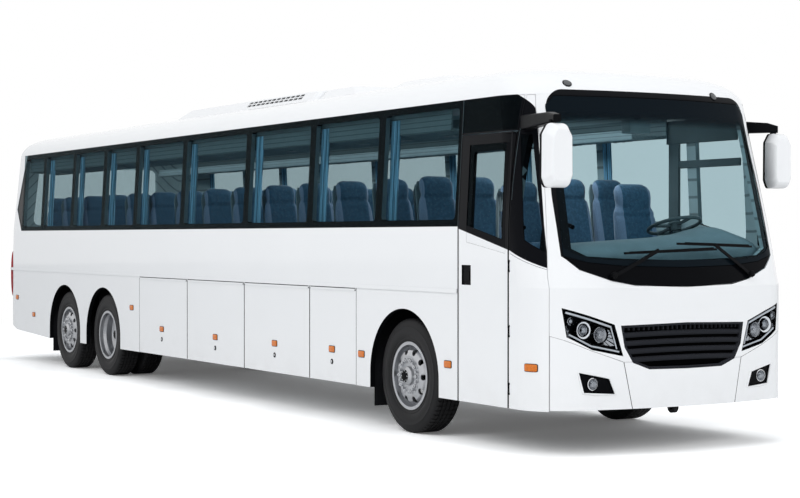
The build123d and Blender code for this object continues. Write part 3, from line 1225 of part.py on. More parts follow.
def build():
    save("side_wall_right", side_wall(True))
    save("side_wall_left", side_wall(False))
    save("roof_shell", roof_shell())
    save("front_mask", front_mask())
    save("front_bumper", bumper("centre"), bumper("corner"))
    save("cowl", cowl_panel())
    save("rear_wall", rear_wall())
    save("rear_bumper", rear_bumper())
    save("windscreen", screen_glass())
    save("cabin_windows", side_glass(-1), side_glass(1), rear_glass())
    save("radiator_grille", grille())
    head = lamp_unit(LAMP, LAMP_DEPTH, HEAD_LIGHTS, HEAD_LIGHT_RS)
    fog = lamp_unit(FOG, FOG_DEPTH, FOG_LIGHT, [FOG_LIGHT_R])
    save("front_lamps", both_sides(head), both_sides(fog))
    save("headlamp_lenses", both_sides(lamp_lens(LAMP)))
    save("tail_lamps", tail_lamps())
    save("mirror_arms", mirror_arm("right"), mirror_arm("left"))
    save("mirror_heads", mirror_head("right"), mirror_head("left"))
    save("wipers", wipers())
    save("roof_units", condenser(), fairing(*CONDENSER_NOSE), fairing(*BLOWER), fairing(*ROOF_HATCH))
    liners = []
    for s in (-1, 1):
        liners.extend(arch_liner(FRONT_AXLE - LINER_HALF, FRONT_AXLE + LINER_HALF, s))
        liners.extend(arch_liner(TAG_AXLE - LINER_HALF, DRIVE_AXLE + LINER_HALF, s))
    save("arch_liners", liners, mud_flaps())
    save("chassis_frame", chassis())
    save("cabin_floor", floor())
    save("luggage_bays", bay_pan(-1), bay_pan(1))
    save("seats_right", seat_block(-1))
    save("seats_left", seat_block(1))
    save("seat_frames", seat_frames(-1), seat_frames(1), bench_frame(), driver_pedestal())
    save("rear_bench", rear_bench())
    save("driver_seat", driver_seat())
    save("dashboard", dashboard())
    save("steering_wheel", steering_wheel())
    save("curtains", curtains(-1), curtains(1))
    save("luggage_racks", racks(-1), racks(1))
    save("engine_block", engine())
    save("axle_beams", front_axle(), drive_axle(), tag_axle())
    save("air_springs", air_springs())
    save("knuckle_right", knuckle(-1))
    save("knuckle_left", knuckle(1))
    tyre = tyre_ring()
    single = rim(FRONT_DISH, 46.0, HUB_IN)
    outer = rim(DRIVE_DISH, 150.0, TWIN_HUB_IN)
    inner = inner_rim(TWIN_DISC)
    for side, s in (("right", -1), ("left", 1)):
        wheel_set("front_" + side, FRONT_AXLE, s, tyre, single)
        wheel_set("drive_" + side, DRIVE_AXLE, s, tyre, outer, inner)
        wheel_set("tag_" + side, TAG_AXLE, s, tyre, single)
    save("entry_door", entry_door())
    save("entry_door_glass", layer(0, PANE) & prism_y(door_view(2.0), -SIDE_FAR, -600))
    for side, s in (("right", -1), ("left", 1)):
        for k, (a, b) in enumerate(BAYS):
            save("bay_door_" + side + "_" + str(k + 1), bay_door(a, b, s))
    save("engine_door", engine_door())


build()
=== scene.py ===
import math

import bmesh
import bpy
from bpy.props import FloatProperty, FloatVectorProperty, IntProperty, PointerProperty
from mathutils import Matrix, Vector


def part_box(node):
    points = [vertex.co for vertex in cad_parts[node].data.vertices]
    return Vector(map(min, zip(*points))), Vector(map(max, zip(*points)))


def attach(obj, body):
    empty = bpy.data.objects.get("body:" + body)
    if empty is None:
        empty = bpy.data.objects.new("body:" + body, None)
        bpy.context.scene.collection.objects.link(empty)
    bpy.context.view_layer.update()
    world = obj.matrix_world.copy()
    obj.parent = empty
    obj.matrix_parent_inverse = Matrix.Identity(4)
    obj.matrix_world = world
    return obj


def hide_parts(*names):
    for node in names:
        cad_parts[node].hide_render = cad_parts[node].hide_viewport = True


bl_info = {
    "name": "Coach finish",
    "version": (1, 0, 0),
    "blender": (4, 5, 0),
    "location": "View3D > Sidebar > Coach",
    "description": "Paint, glass, upholstery and small fittings for a three-axle touring coach",
    "category": "Object",
}

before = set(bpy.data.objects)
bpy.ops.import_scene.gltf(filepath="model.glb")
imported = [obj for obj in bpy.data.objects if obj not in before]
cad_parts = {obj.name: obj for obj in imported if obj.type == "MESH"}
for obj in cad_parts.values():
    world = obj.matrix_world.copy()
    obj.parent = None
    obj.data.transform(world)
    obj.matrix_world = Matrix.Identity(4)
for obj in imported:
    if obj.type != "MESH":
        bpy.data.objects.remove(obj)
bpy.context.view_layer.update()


SIDES = (("right", -1), ("left", 1))
BODY = "coach_body"


# ================================================================ what a user would change
def tint(name, default, description):
    return FloatVectorProperty(name=name, description=description, default=default, subtype="COLOR",
                               size=3, min=0.0, max=1.0)


def length(name, default, description):
    return FloatProperty(name=name, description=description, default=default, unit="LENGTH", precision=4)


BODY_WHITE = (0.84, 0.848, 0.86)


class CoachColours(bpy.types.PropertyGroup):
    """Colours of the coach's finishes"""

    body: tint("Body", BODY_WHITE, "Gloss paint of the body panels")
    band: tint("Window band", (0.004, 0.0045, 0.006), "Gloss black round the windows")
    trim: tint("Trim", (0.007, 0.0075, 0.009), "Satin black plastic of arms, wipers and grille")
    seat: tint("Seat", (0.030, 0.075, 0.125), "Woven cover of the seats")
    # painted highlight on the side bolsters of each seat back
    bolster_highlight: tint("Seat sides", (0.16, 0.23, 0.34), "Lighter cover on the sides of each seat back")
    curtain: tint("Curtain", (0.23, 0.48, 0.66), "Gathered window curtains")
    lining: tint("Lining", (0.30, 0.40, 0.43), "Ceiling and wall lining")
    rack: tint("Rack", (0.135, 0.19, 0.21), "Luggage racks")
    dash: tint("Dashboard", (0.135, 0.195, 0.22), "Dashboard moulding")
    glass: tint("Glass", (0.725, 0.785, 0.80), "Light that each face of a window lets through")
    marker: tint("Marker", (0.80, 0.20, 0.012), "Side marker lamps")
    tail: tint("Tail lamp", (0.36, 0.006, 0.014), "Tail lamp lenses")


class CoachSizes(bpy.types.PropertyGroup):
    """Sizes of the fittings that are added to the coach"""

    groove_depth: length("Tread groove", 0.014, "Depth of the grooves round each tyre")
    groove_width: length("Groove width", 0.009, "Width of the grooves round each tyre")
    tread_pitches: IntProperty(name="Tread blocks", description="Blocks round each tyre", default=64,
                               min=24)
    seat_voxel: length("Seat mesh", 0.0198, "Size of the mesh that the seat covers are blown up from")
    seat_swell: length("Seat swell", 0.012, "Most that the air may push a seat cover out")
    curtain_flat: length("Curtain width", 0.34, "Width each curtain was cut to before it was gathered")
    curtain_drop: length("Curtain drop", 0.90, "Length each curtain was cut to")
    marker_width: length("Marker width", 0.112, "Length of a side marker lamp")
    marker_height: length("Marker height", 0.056, "Height of a side marker lamp")
    seal: length("Door seal", 0.011, "Width of the rubber seal round the entry door")


class CoachStudio(bpy.types.PropertyGroup):
    """Camera and light"""

    camera: FloatVectorProperty(name="Camera", description="Place of the camera", size=3,
                                subtype="TRANSLATION", default=(17.416, -9.021, 1.731))
    turn: FloatProperty(name="Turn", description="Turn of the view from straight at the coach's nose",
                        default=math.radians(30.374), subtype="ANGLE")
    dip: FloatProperty(name="Dip", description="Downward tilt of the view", default=math.radians(0.393),
                       subtype="ANGLE")
    lens: FloatProperty(name="Lens", description="Focal length", default=77.67, subtype="DISTANCE_CAMERA")
    room: FloatProperty(name="Room light", description="Strength of the light from all round", default=0.66)
    cabin: FloatProperty(name="Cabin light", description="Power of the lamp inside the cabin", default=170.0,
                         subtype="POWER")
    key: FloatProperty(name="Key light", description="Power of the lamp beside the coach", default=1300.0,
                       subtype="POWER")
    front: FloatProperty(name="Front light", description="Power of the lamp ahead of the coach",
                         default=780.0, subtype="POWER")
    top: FloatProperty(name="Top light", description="Power of the lamp above the coach", default=470.0,
                       subtype="POWER")
    floor_glow: FloatProperty(name="Floor glow", description="What the floor adds to its own light, as seen",
                              default=0.10)


# ================================================================ shader maths
class Value:
    """A node output that turns arithmetic into Math nodes."""

    def __init__(self, shader, socket):
        self.shader = shader
        self.socket = socket

    def maths(self, operation, first, second=0.0):
        return self.shader.node("ShaderNodeMath", {"operation": operation}, {0: first, 1: second})

    def __add__(self, other):
        return self.maths("ADD", self, other)

    def __sub__(self, other):
        return self.maths("SUBTRACT", self, other)

    def __rsub__(self, other):
        return self.maths("SUBTRACT", other, self)

    def __mul__(self, other):
        return self.maths("MULTIPLY", self, other)

    def __truediv__(self, other):
        return self.maths("DIVIDE", self, other)

    def __mod__(self, other):
        return self.maths("FLOORED_MODULO", self, other)

    def __pow__(self, other):
        return self.maths("POWER", self, other)

    def __abs__(self):
        return self.maths("ABSOLUTE", self)

    def most(self, other):
        return self.maths("MAXIMUM", self, other)

    def least(self, other):
        return self.maths("MINIMUM", self, other)

    __radd__ = __add__
    __rmul__ = __mul__


class Shader:
    """One material and the nodes behind its sockets."""

    def __init__(self, name):
        self.material = bpy.data.materials.new(name)
        self.material.use_nodes = True
        self.tree = self.material.node_tree
        self.tree.nodes.clear()
        self.output = self.tree.nodes.new("ShaderNodeOutputMaterial")
        self._place = None

    def node(self, kind, settings=None, inputs=None, output=0):
        """A node of any type: its settings first, then the values or links of its sockets."""
        node = self.tree.nodes.new(kind)
        for name, value in (settings or {}).items():
            setattr(node, name, value)
        for key, value in (inputs or {}).items():
            self.feed(node.inputs[key], value)
        return Value(self, node.outputs[output])

    def feed(self, socket, value):
        if isinstance(value, Value):
            self.tree.links.new(value.socket, socket)
        elif socket.type == "RGBA" and len(value) == 3:
            socket.default_value = (*value, 1.0)
        else:
            socket.default_value = value

    def place(self):
        """Position in the coach's own frame, in metres."""
        if self._place is None:
            self._place = self.node("ShaderNodeTexCoord", output="Object")
        return self._place

    def split(self, vector):
        node = self.tree.nodes.new("ShaderNodeSeparateXYZ")
        self.tree.links.new(vector.socket, node.inputs[0])
        return [Value(self, out) for out in node.outputs]

    def kept(self, name):
        """A number that the mesh keeps at each of its points."""
        return self.node("ShaderNodeAttribute", {"attribute_name": name}, output="Fac")

    def stretched(self, by):
        return self.node("ShaderNodeVectorMath", {"operation": "MULTIPLY"}, {0: self.place(), 1: by})

    def noise(self, scale, detail=3.0, roughness=0.5, stretch=None):
        where = self.stretched(stretch) if stretch else self.place()
        return self.node("ShaderNodeTexNoise", {},
                         {"Vector": where, "Scale": scale, "Detail": detail, "Roughness": roughness})

    def cells(self, scale):
        return self.node("ShaderNodeTexVoronoi", {}, {"Vector": self.place(), "Scale": scale})

    def wave(self, value, frequency):
        """A 0 to 1 ripple along one axis."""
        return self.node("ShaderNodeMath", {"operation": "SINE"}, {0: value * frequency}) * 0.5 + 0.5

    def fade(self, value, start, end):
        """0 before start, 1 past end, smooth between; start may be past end."""
        settings = {"interpolation_type": "SMOOTHSTEP"}
        if start > end:
            return 1.0 - self.node("ShaderNodeMapRange", settings, {0: value, 1: end, 2: start})
        return self.node("ShaderNodeMapRange", settings, {0: value, 1: start, 2: end})

    def mix(self, factor, first, second):
        return self.node("ShaderNodeMix", {"data_type": "RGBA"}, {0: factor, 6: first, 7: second}, output=2)

    def bump(self, height, distance, strength=1.0):
        return self.node("ShaderNodeBump", {}, {"Height": height, "Distance": distance, "Strength": strength})

    def principled(self, **sockets):
        named = {name.replace("_", " "): value for name, value in sockets.items()}
        return self.node("ShaderNodeBsdfPrincipled", {}, named)

    def done(self, surface):
        self.tree.links.new(surface.socket, self.output.inputs["Surface"])
        return self.material

    def blend(self, factor, first, second):
        return self.done(self.node("ShaderNodeMixShader", {}, {0: factor, 1: first, 2: second}))


def scaled(colour, by):
    """A colour made lighter or darker."""
    return tuple(min(1.0, c * by) for c in colour)


# ================================================================ finishes
BAND_LOW = 1.82             # lower edge of the black window band
BAND_DIP = ((5.198, 1.804, -0.2328), (5.967, 1.626, -0.380))    # x, z and slope of its falling front edge
BAND_NOSE = (6.057, 2.732, -0.2255, 0.16, 0.13)     # front edge: x, z, slope, size of the rounded top
BAND_REAR = ((-6.344, 1.82), (-6.575, 2.125), (-6.262, 2.88))       # x and z down its rear edge
EDGE = 0.0008               # half width of a painted edge
PRINT_EDGE = 0.001          # half width of an edge printed on glass


def band_mask(s):
    """1 on the black window band of the sides."""
    x, _, z = s.split(s.place())
    low = z - BAND_LOW
    for x0, z0, slope in BAND_DIP:
        low = low.most((z - z0 - (x - x0) * slope).least((x - x0) * 50.0))
    for (xa, za), (xb, zb) in zip(BAND_REAR[:-1], BAND_REAR[1:]):
        slope = (xb - xa) / (zb - za)
        low = low.least(x - xa - (z - za) * slope)
    x0, z0, slope, rise, back = BAND_NOSE
    over = ((z - z0) / rise).most(0.0)
    low = low.least(x0 + (z - z0) * slope - over * over * back - x)
    return s.fade(low, -EDGE, EDGE)


SCREEN_HALF = 1.090         # half width of the windscreen's black border
SCREEN_TAPER = (2.0, 2.75, 0.060)   # it narrows between these heights by so much
SCREEN_TOP = 2.922
SCREEN_CORNER = 0.16
COWL_FOOT = (1.333, 0.24, 1.078, 2.6)   # lowest point of the cowl, rise to its ends, half width, power
FRIT = 0.028                # width of the windscreen's printed border
FRIT_FOOT = 1.548           # top of its foot at the middle, which rises by FRIT_RISE at FRIT_END
FRIT_END = 1.06
FRIT_RISE = 0.10


def screen_depth(s):
    """How far a point of the front lies outside the windscreen's rounded outline; negative inside."""
    _, y, z = s.split(s.place())
    start, end, less = SCREEN_TAPER
    half = SCREEN_HALF - s.fade(z, start, end) * less
    r = SCREEN_CORNER
    across = abs(y) - half + r
    up = z - SCREEN_TOP + r
    outer_a, outer_b = across.most(0.0), up.most(0.0)
    corner = (outer_a * outer_a + outer_b * outer_b) ** 0.5
    top = across.most(up).least(0.0) + corner - r
    low, rise, width, power = COWL_FOOT
    return top.most((abs(y) / width) ** power * rise + low - z)


def body_paint(name, colours, band=False, screen=False):
    """Clear-coated paint with a trace of road film low down."""
    s = Shader(name)
    _, _, z = s.split(s.place())
    colour = s.mix(s.noise(0.8, 2.0), scaled(colours.body, 0.985), scaled(colours.body, 1.02))
    film = s.fade(z, 0.80, 0.34) * s.fade(s.noise(5.0, 5.0, 0.6), 0.35, 0.8) * 0.10
    colour = s.mix(film, colour, (0.50, 0.48, 0.45))
    rough = 0.2 + s.noise(3.0, 3.0) * 0.08
    coat = 0.7
    if band or screen:
        mask = band_mask(s) if band else s.fade(screen_depth(s), EDGE, -EDGE)
        colour = s.mix(mask, colour, colours.band)
        rough = rough - mask * 0.1
        coat = 0.7 - mask * 0.68
    return s.done(s.principled(Base_Color=colour, Roughness=rough, Coat_Weight=coat, Coat_Roughness=0.04,
                               Specular_IOR_Level=0.06, Normal=s.bump(s.noise(240.0, 2.0), 0.00006, 0.35)))


def moulded(name, colour, rough, grain=900.0, depth=0.00008, fleck=0.25, shine=0.5):
    """Grained plastic or rubber."""
    s = Shader(name)
    tone = s.noise(5.0, 4.0)
    base = s.mix(tone, scaled(colour, 1.0 - fleck), scaled(colour, 1.0 + fleck))
    return s.done(s.principled(Base_Color=base, Roughness=rough + tone * 0.12, Specular_IOR_Level=shine,
                               Normal=s.bump(s.noise(grain, 2.0), depth, 0.6)))


def moulding_with_painted_light(name, colour):
    """Black moulding with a painted highlight where it faces up and painted shade where it faces down, so
    that its slats read.
    """
    s = Shader(name)
    normal = s.node("ShaderNodeNewGeometry", output="Normal")
    _, _, up = s.split(normal)
    # painted highlight on faces that look up, painted shade on faces that look down
    base = s.mix(s.fade(up, -0.45, 0.55), scaled(colour, 0.3), scaled(colour, 6.0))
    return s.done(s.principled(Base_Color=base, Roughness=0.3 + s.noise(5.0, 4.0) * 0.1,
                               Specular_IOR_Level=0.02, Normal=s.bump(s.noise(700.0, 2.0), 0.00004, 0.5)))


def lined(name, colour, grooves=42.0):
    """Cabin lining with grooves along the coach, darkened with painted shade."""
    s = Shader(name)
    _, y, z = s.split(s.place())
    groove = s.fade(s.wave(abs(y) + z, grooves), 0.90, 0.98)
    base = s.mix(s.noise(5.0, 4.0), scaled(colour, 0.9), scaled(colour, 1.1))
    # the grooves are darkened: painted shade in them
    base = s.mix(groove * 0.7, base, scaled(colour, 0.3))
    return s.done(s.principled(Base_Color=base, Roughness=0.7, Specular_IOR_Level=0.2,
                               Normal=s.bump(groove, -0.002, 0.5)))


def metal(name, colour, rough, scratch=(1.0, 1.0, 1.0), scale=60.0, dirt=0.15):
    """Bare metal with fine scratches and a little soil."""
    s = Shader(name)
    marks = s.noise(scale, 4.0, 0.6, stretch=scratch)
    soil = s.fade(s.noise(6.0, 5.0), 0.45, 0.8) * dirt
    base = s.mix(soil, colour, scaled(colour, 0.35))
    return s.done(s.principled(Base_Color=base, Metallic=1.0, Roughness=rough + marks * 0.12 + soil * 0.3,
                               Normal=s.bump(marks, 0.00004, 0.5)))


SHEEN_SQUARE = 0.012        # share that glass mirrors when it is looked at square on
SCREEN_SHADE = (2.62, 2.745)        # heights between which the windscreen darkens
GLASS_HAZE = (0.004, 0.0045, 0.006)
SCREEN_HAZE = (0.004, 0.0075, 0.011)
DOOR_PANE = (5.330, 5.868, 1.832, 5.325, -0.22)     # clear part: its sides, its foot's height, x and slope


def clear_glass(name, tint, haze, printed=None, dust=0.02):
    """Thin glass: light passes with a tint, and the surface mirrors more the flatter it is looked at.
    printed gives two masks from a shader: its black border, and what is painted as the body is."""
    s = Shader(name)
    passed = s.node("ShaderNodeBsdfTransparent", {}, {"Color": tint})
    facing = s.node("ShaderNodeLayerWeight", {}, {"Blend": 0.5}, output="Facing")
    shine = s.principled(Base_Color=haze, Roughness=0.02 + s.noise(2.0, 3.0) * 0.02, Specular_IOR_Level=0.03)
    factor = facing ** 5.0 * 0.5 + s.noise(1.3, 4.0) * dust + SHEEN_SQUARE
    if printed:
        black, painted = printed(s)
        factor = factor.most(black).most(painted)
        s.feed(shine.socket.node.inputs["Base Color"], s.mix(painted, haze, BODY_WHITE))
    return s.blend(factor, passed, shine)


def printed_screen(s):
    """Black border, dark head and body-coloured corners of the windscreen."""
    depth = screen_depth(s)
    _, y, z = s.split(s.place())
    shade = s.fade(z, *SCREEN_SHADE) * 0.985
    above = z - FRIT_FOOT - (abs(y) / FRIT_END) ** 8.0 * FRIT_RISE
    printed = s.fade(depth, -FRIT - PRINT_EDGE, -FRIT + PRINT_EDGE)
    border = printed.most(s.fade(above, PRINT_EDGE, -PRINT_EDGE))
    return border.most(shade), s.fade(depth, -EDGE, EDGE)


# where it starts, x and lean of its rear and front edges, its top, and its foot's height, x and slope
QUARTER_PANE = (5.95, (5.988, 0.178), (6.065, 0.249), 2.552, (1.709, 6.136, -0.583))
FLANK_GLASS = 5.0           # glass ahead of this is painted where it lies off the window band


def printed_side(s):
    """Black border of the quarter pane ahead of the door, and what lies off the window band."""
    x, _, z = s.split(s.place())
    start, (rear, lean_a), (front, lean_b), top, (foot, x0, slope) = QUARTER_PANE
    inside = (x - rear - (top - z) * lean_a).least(front + (top - z) * lean_b - x)
    inside = inside.least(top - z).least(z - foot - (x - x0) * slope)
    black = s.fade(inside, PRINT_EDGE, -PRINT_EDGE) * s.fade(x, start - PRINT_EDGE, start + PRINT_EDGE)
    return black, (1.0 - band_mask(s)) * s.fade(x, FLANK_GLASS, FLANK_GLASS + PRINT_EDGE)


def printed_door(s):
    """Black border of the door's pane, and its foot that lies below the window band."""
    x, _, z = s.split(s.place())
    rear, front, foot, x0, slope = DOOR_PANE
    inside = (x - rear).least(front - x).least(z - foot - (x - x0) * slope)
    return s.fade(inside, PRINT_EDGE, -PRINT_EDGE), 1.0 - band_mask(s)


WEAVE = 620.0               # radians of the thread's wave per metre of seat cover
BOLSTER_HIGHLIGHT_FROM = (0.142, 0.147)       # from a seat's middle: the painted highlight on the side bolsters starts here


def woven(name, colour, second, sides):
    """Woven cover with a fine two-tone thread; sides is the colour of the painted highlight on the side
    bolsters of a seat.
    """
    s = Shader(name)
    x, y, z = s.split(s.place())
    thread = s.wave(y, WEAVE) * s.wave(z + x, WEAVE)
    base = s.mix(s.fade(s.noise(38.0, 4.0), 0.35, 0.7), colour, second)
    # painted highlight on the side bolsters of each seat back
    side = s.fade(s.kept("across"), *BOLSTER_HIGHLIGHT_FROM) * s.kept("back")
    base = s.mix(side, base, s.mix(s.noise(60.0, 3.0), scaled(sides, 0.85), scaled(sides, 1.12)))
    base = s.mix(thread * 0.3, base, scaled(colour, 0.6))
    return s.done(s.principled(Base_Color=base, Roughness=0.86, Normal=s.bump(thread, 0.0004, 0.5),
                               Sheen_Weight=0.3, Sheen_Roughness=0.4, Specular_IOR_Level=0.2))


CLOTH_FOLDS = 190.0         # radians per metre along the coach of the folds' wave, which carries their bump and their painted shade and highlight
CLOTH_FOLD_SHADE, CLOTH_CREST_HIGHLIGHT = 0.30, 1.5     # painted shade in the folds, and painted highlight on their crests
CLOTH_THREAD = 900.0        # radians of the thread's wave per metre of height


def gathered(name, colour):
    """Light curtain cloth with painted shade in its folds and a painted highlight on their crests."""
    s = Shader(name)
    x, _, z = s.split(s.place())
    crest = s.wave(x + s.noise(3.0, 2.0) * 0.03, CLOTH_FOLDS)
    # painted shade in the folds and painted highlight on their crests
    base = s.mix(crest, scaled(colour, CLOTH_FOLD_SHADE), scaled(colour, CLOTH_CREST_HIGHLIGHT))
    base = s.mix(s.wave(z, CLOTH_THREAD) * 0.25, base, scaled(colour, 0.6))
    return s.done(s.principled(Base_Color=base, Roughness=0.8, Normal=s.bump(crest, 0.006, 0.6),
                               Sheen_Weight=0.2, Sheen_Roughness=0.4, Specular_IOR_Level=0.2))


def lens(name, colour, rib=90.0):
    """Moulded lamp lens with small optics behind it."""
    s = Shader(name)
    cells = s.cells(rib)
    base = s.mix(s.fade(cells, 0.2, 0.7), colour, scaled(colour, 0.7))
    return s.done(s.principled(Base_Color=base, Roughness=0.12, Coat_Weight=0.3, Coat_Roughness=0.03,
                               Specular_IOR_Level=0.3, Normal=s.bump(cells, 0.0006, 0.5)))


def glowing(name, colour, strength):
    """White light guide."""
    s = Shader(name)
    base = s.mix(s.noise(14.0, 3.0), scaled(colour, 0.85), colour)
    lit = s.principled(Base_Color=base, Roughness=0.25, Emission_Color=base, Emission_Strength=strength)
    return s.done(lit)


FINISH = {}


class COACH_OT_finishes(bpy.types.Operator):
    """Make every paint, plastic, metal, glass and cloth of the coach"""

    bl_idname = "coach.finishes"
    bl_label = "Finishes"

    def execute(self, context):
        c = context.scene.coach_colours
        trim = tuple(c.trim)
        FINISH.update({
            "paint": body_paint("white_paint", c),
            "side_paint": body_paint("side_paint_with_band", c, True),
            "nose_paint": body_paint("nose_paint_with_border", c, False, True),
            "black_gloss": moulded("black_gloss", scaled(c.band, 0.6), 0.10, 300.0, 0.00003, shine=0.03),
            "black_satin": moulded("black_satin", scaled(trim, 0.6), 0.30, shine=0.045),
            # the grille's slats take a painted highlight and painted shade
            "grille_black": moulding_with_painted_light("grille_black", scaled(trim, 1.1)),
            # black with no shine behind the grille's slats: painted shade
            "grille_deep": moulded("grille_deep", (0.0010, 0.0011, 0.0013), 0.6, shine=0.01),
            "rubber": moulded("rubber", scaled(trim, 1.1), 0.62, 500.0, 0.0002, 0.35, 0.15),
            "tyre": moulded("tyre_rubber", (0.011, 0.011, 0.012), 0.52, 420.0, 0.0003, 0.4, 0.22),
            "lining": lined("cabin_lining", tuple(c.lining)),
            "rack": moulded("rack_plastic", tuple(c.rack), 0.5, shine=0.25),
            "rack_shelf": lined("rack_shelf", scaled(c.rack, 1.15), 140.0),
            "window_frame": moulded("window_frame", scaled(c.rack, 0.55), 0.5, shine=0.2),
            "cab_plastic": moulded("cab_plastic", scaled(c.rack, 0.4), 0.4, shine=0.3),
            "dash": moulded("dash_plastic", tuple(c.dash), 0.55, shine=0.3),
            "floor": moulded("floor_covering", (0.10, 0.105, 0.11), 0.6, 160.0, 0.0004, 0.4),
            "side_glass": clear_glass("side_glass", tuple(c.glass), GLASS_HAZE, printed_side),
            "door_glass": clear_glass("door_glass", tuple(c.glass), GLASS_HAZE, printed_door),
            "screen_glass": clear_glass("screen_glass", scaled(c.glass, 1.22), SCREEN_HAZE, printed_screen),
            "lamp_glass": clear_glass("lamp_glass", (0.96, 0.97, 0.98), (0.02, 0.02, 0.02), dust=0.0),
            "mirror": metal("mirror_glass", (0.88, 0.90, 0.92), 0.01, dirt=0.03),
            "chrome": metal("chrome", (0.84, 0.85, 0.87), 0.06, dirt=0.05),
            "reflector": metal("lamp_reflector", (0.42, 0.43, 0.45), 0.16, dirt=0.1),
            "alloy": metal("polished_alloy", (0.50, 0.51, 0.53), 0.26, (1.0, 14.0, 1.0), 30.0, 0.2),
            "bright_steel": metal("bright_steel", (0.55, 0.56, 0.58), 0.24),
            "steel": moulded("frame_paint", (0.012, 0.012, 0.013), 0.5, 200.0, 0.0002, 0.4, 0.2),
            "bay_metal": metal("bay_sheet", (0.50, 0.51, 0.52), 0.42),
            "iron": moulded("axle_iron", (0.018, 0.018, 0.019), 0.6, 160.0, 0.0005, 0.5, 0.3),
            "seat": woven("seat_cloth", tuple(c.seat), scaled(c.seat, 1.45), tuple(c.bolster_highlight)),
            "curtain": gathered("curtain_cloth", tuple(c.curtain)),
            "red": lens("red_lens", tuple(c.tail)),
            "amber": lens("amber_lens", tuple(c.marker), 160.0),
            "smoke_lens": lens("smoke_lens", (0.10, 0.105, 0.11), 120.0),
            "clear_lens": lens("clear_lens", (0.42, 0.43, 0.45), 120.0),
            "strip": glowing("light_strip", (0.55, 0.57, 0.60), 0.12),
        })
        return {"FINISHED"}


# ================================================================ packed nodes
NODE_FINISH = {
    "roof_shell": "nose_paint", "front_mask": "nose_paint", "front_bumper": "paint", "rear_wall": "paint",
    "rear_bumper": "paint", "roof_units": "paint", "engine_door": "paint", "mirror_heads": "paint",
    "side_wall": "side_paint", "entry_door": "side_paint", "bay_door": "side_paint",
    "cowl": "black_gloss", "radiator_grille": "grille_black", "front_lamps": "black_gloss",
    "headlamp_lenses": "lamp_glass", "tail_lamps": "red", "mirror_arms": "black_satin",
    "wipers": "black_satin",
    "arch_liners": "rubber", "chassis_frame": "steel", "cabin_floor": "floor", "luggage_bays": "bay_metal",
    "seats": "seat", "seat_frames": "steel", "rear_bench": "seat", "driver_seat": "seat",
    "dashboard": "dash", "steering_wheel": "cab_plastic", "curtains": "curtain", "luggage_racks": "rack",
    "engine_block": "iron", "axle_beams": "iron", "air_springs": "rubber", "knuckle": "iron",
    "tyre": "tyre", "wheel": "alloy", "windscreen": "screen_glass", "cabin_windows": "side_glass",
    "entry_door_glass": "door_glass",
}
DOORS = [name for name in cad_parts
         if name.startswith("bay_door") or name in ("entry_door", "engine_door")]
WALLS = ("side_wall_right", "side_wall_left", "front_mask", "rear_wall")
DOOR_HINGE_X = 5.959
RETURN_Y = 1.284            # window openings are lined inboard of this
LINED_FROM = 1.23           # walls are lined from the floor up
SPINE = ((-6.6, 5.8), (-0.8, 0.8))      # box inside the coach that its skin faces away from: x and y
SKIN_Y = 1.302              # a wall's faces beyond this are its skin, whichever way they face
LINING_Y = 1.27
PANE_FOOT = 1.84            # foot of the window openings
REAR_GLASS = (1.03, 1.836, 2.8)     # half width, foot and top of the black round the rear window
HEADLINING_Z = 3.13
GRILLE_FACE = 0.030         # depth of the grille's slats
HANDLE_RECESS = ((5.258, 5.4), (-1.2985, -1.27), (1.334, 1.501))        # pocket of the entry door's handle
AIR_SLOT = ((0.05, 1.45), 0.735, (3.15, 3.225))     # x, least distance from the middle, and height


def finish_of(node):
    """The finish of a node: the longest listed name that its own starts with."""
    return max((key for key in NODE_FINISH if node.startswith(key)), key=len)


def faces_outward(centre, normal):
    """True for the coach's outer skin."""
    axis = Vector((bounded(centre.x, *SPINE[0]), bounded(centre.y, *SPINE[1]), centre.z))
    away = centre - axis
    return normal.dot(away) > 0.3 * away.length


def recolour(node, finish, test):
    """Give the faces of a node that pass a test another finish."""
    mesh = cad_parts[node].data
    mesh.materials.append(FINISH[finish])
    index = len(mesh.materials) - 1
    for face in mesh.polygons:
        if test(face.center, face.normal):
            face.material_index = index


def inside_wall(centre, normal):
    """True for the cabin side of a side wall."""
    faces_in = normal.y * centre.y < -0.3 * abs(centre.y)
    return centre.z > LINED_FROM and faces_in and abs(centre.y) < LINING_Y


def in_recess(centre, normal):
    """Inside the pocket of the entry door's handle."""
    return all(low < at < high for at, (low, high) in zip(centre, HANDLE_RECESS))


def in_air_slot(centre, normal):
    """Roof and floor of the slots in the sides of the air conditioner."""
    (rear, front), inner, (low, high) = AIR_SLOT
    within = rear < centre.x < front and low < centre.z < high and abs(centre.y) > inner
    return within and abs(normal.z) > 0.9


def off_skin(centre, normal):
    """Any face that the coach's skin doesn't have."""
    return not faces_outward(centre, normal)


def behind_skin(centre, normal):
    return off_skin(centre, normal) and abs(centre.y) < SKIN_Y


def cabin_side(centre, normal):
    return off_skin(centre, normal) and inside_wall(centre, normal)


def window_side(centre, normal):
    """The side faces of the window openings."""
    return abs(normal.x) > 0.7 and centre.z > PANE_FOOT and 1.2 < abs(centre.y) < RETURN_Y


def rear_window_rim(centre, normal):
    half, low, high = REAR_GLASS
    return normal.x < -0.5 and abs(centre.y) < half and low < centre.z < high


def grille_hollow(centre, normal):
    """Whatever lies behind the grille's slats, which takes painted shade: black with no shine."""
    return normal.x < -0.5 or centre.x < nose_x(centre.y, centre.z) - GRILLE_FACE


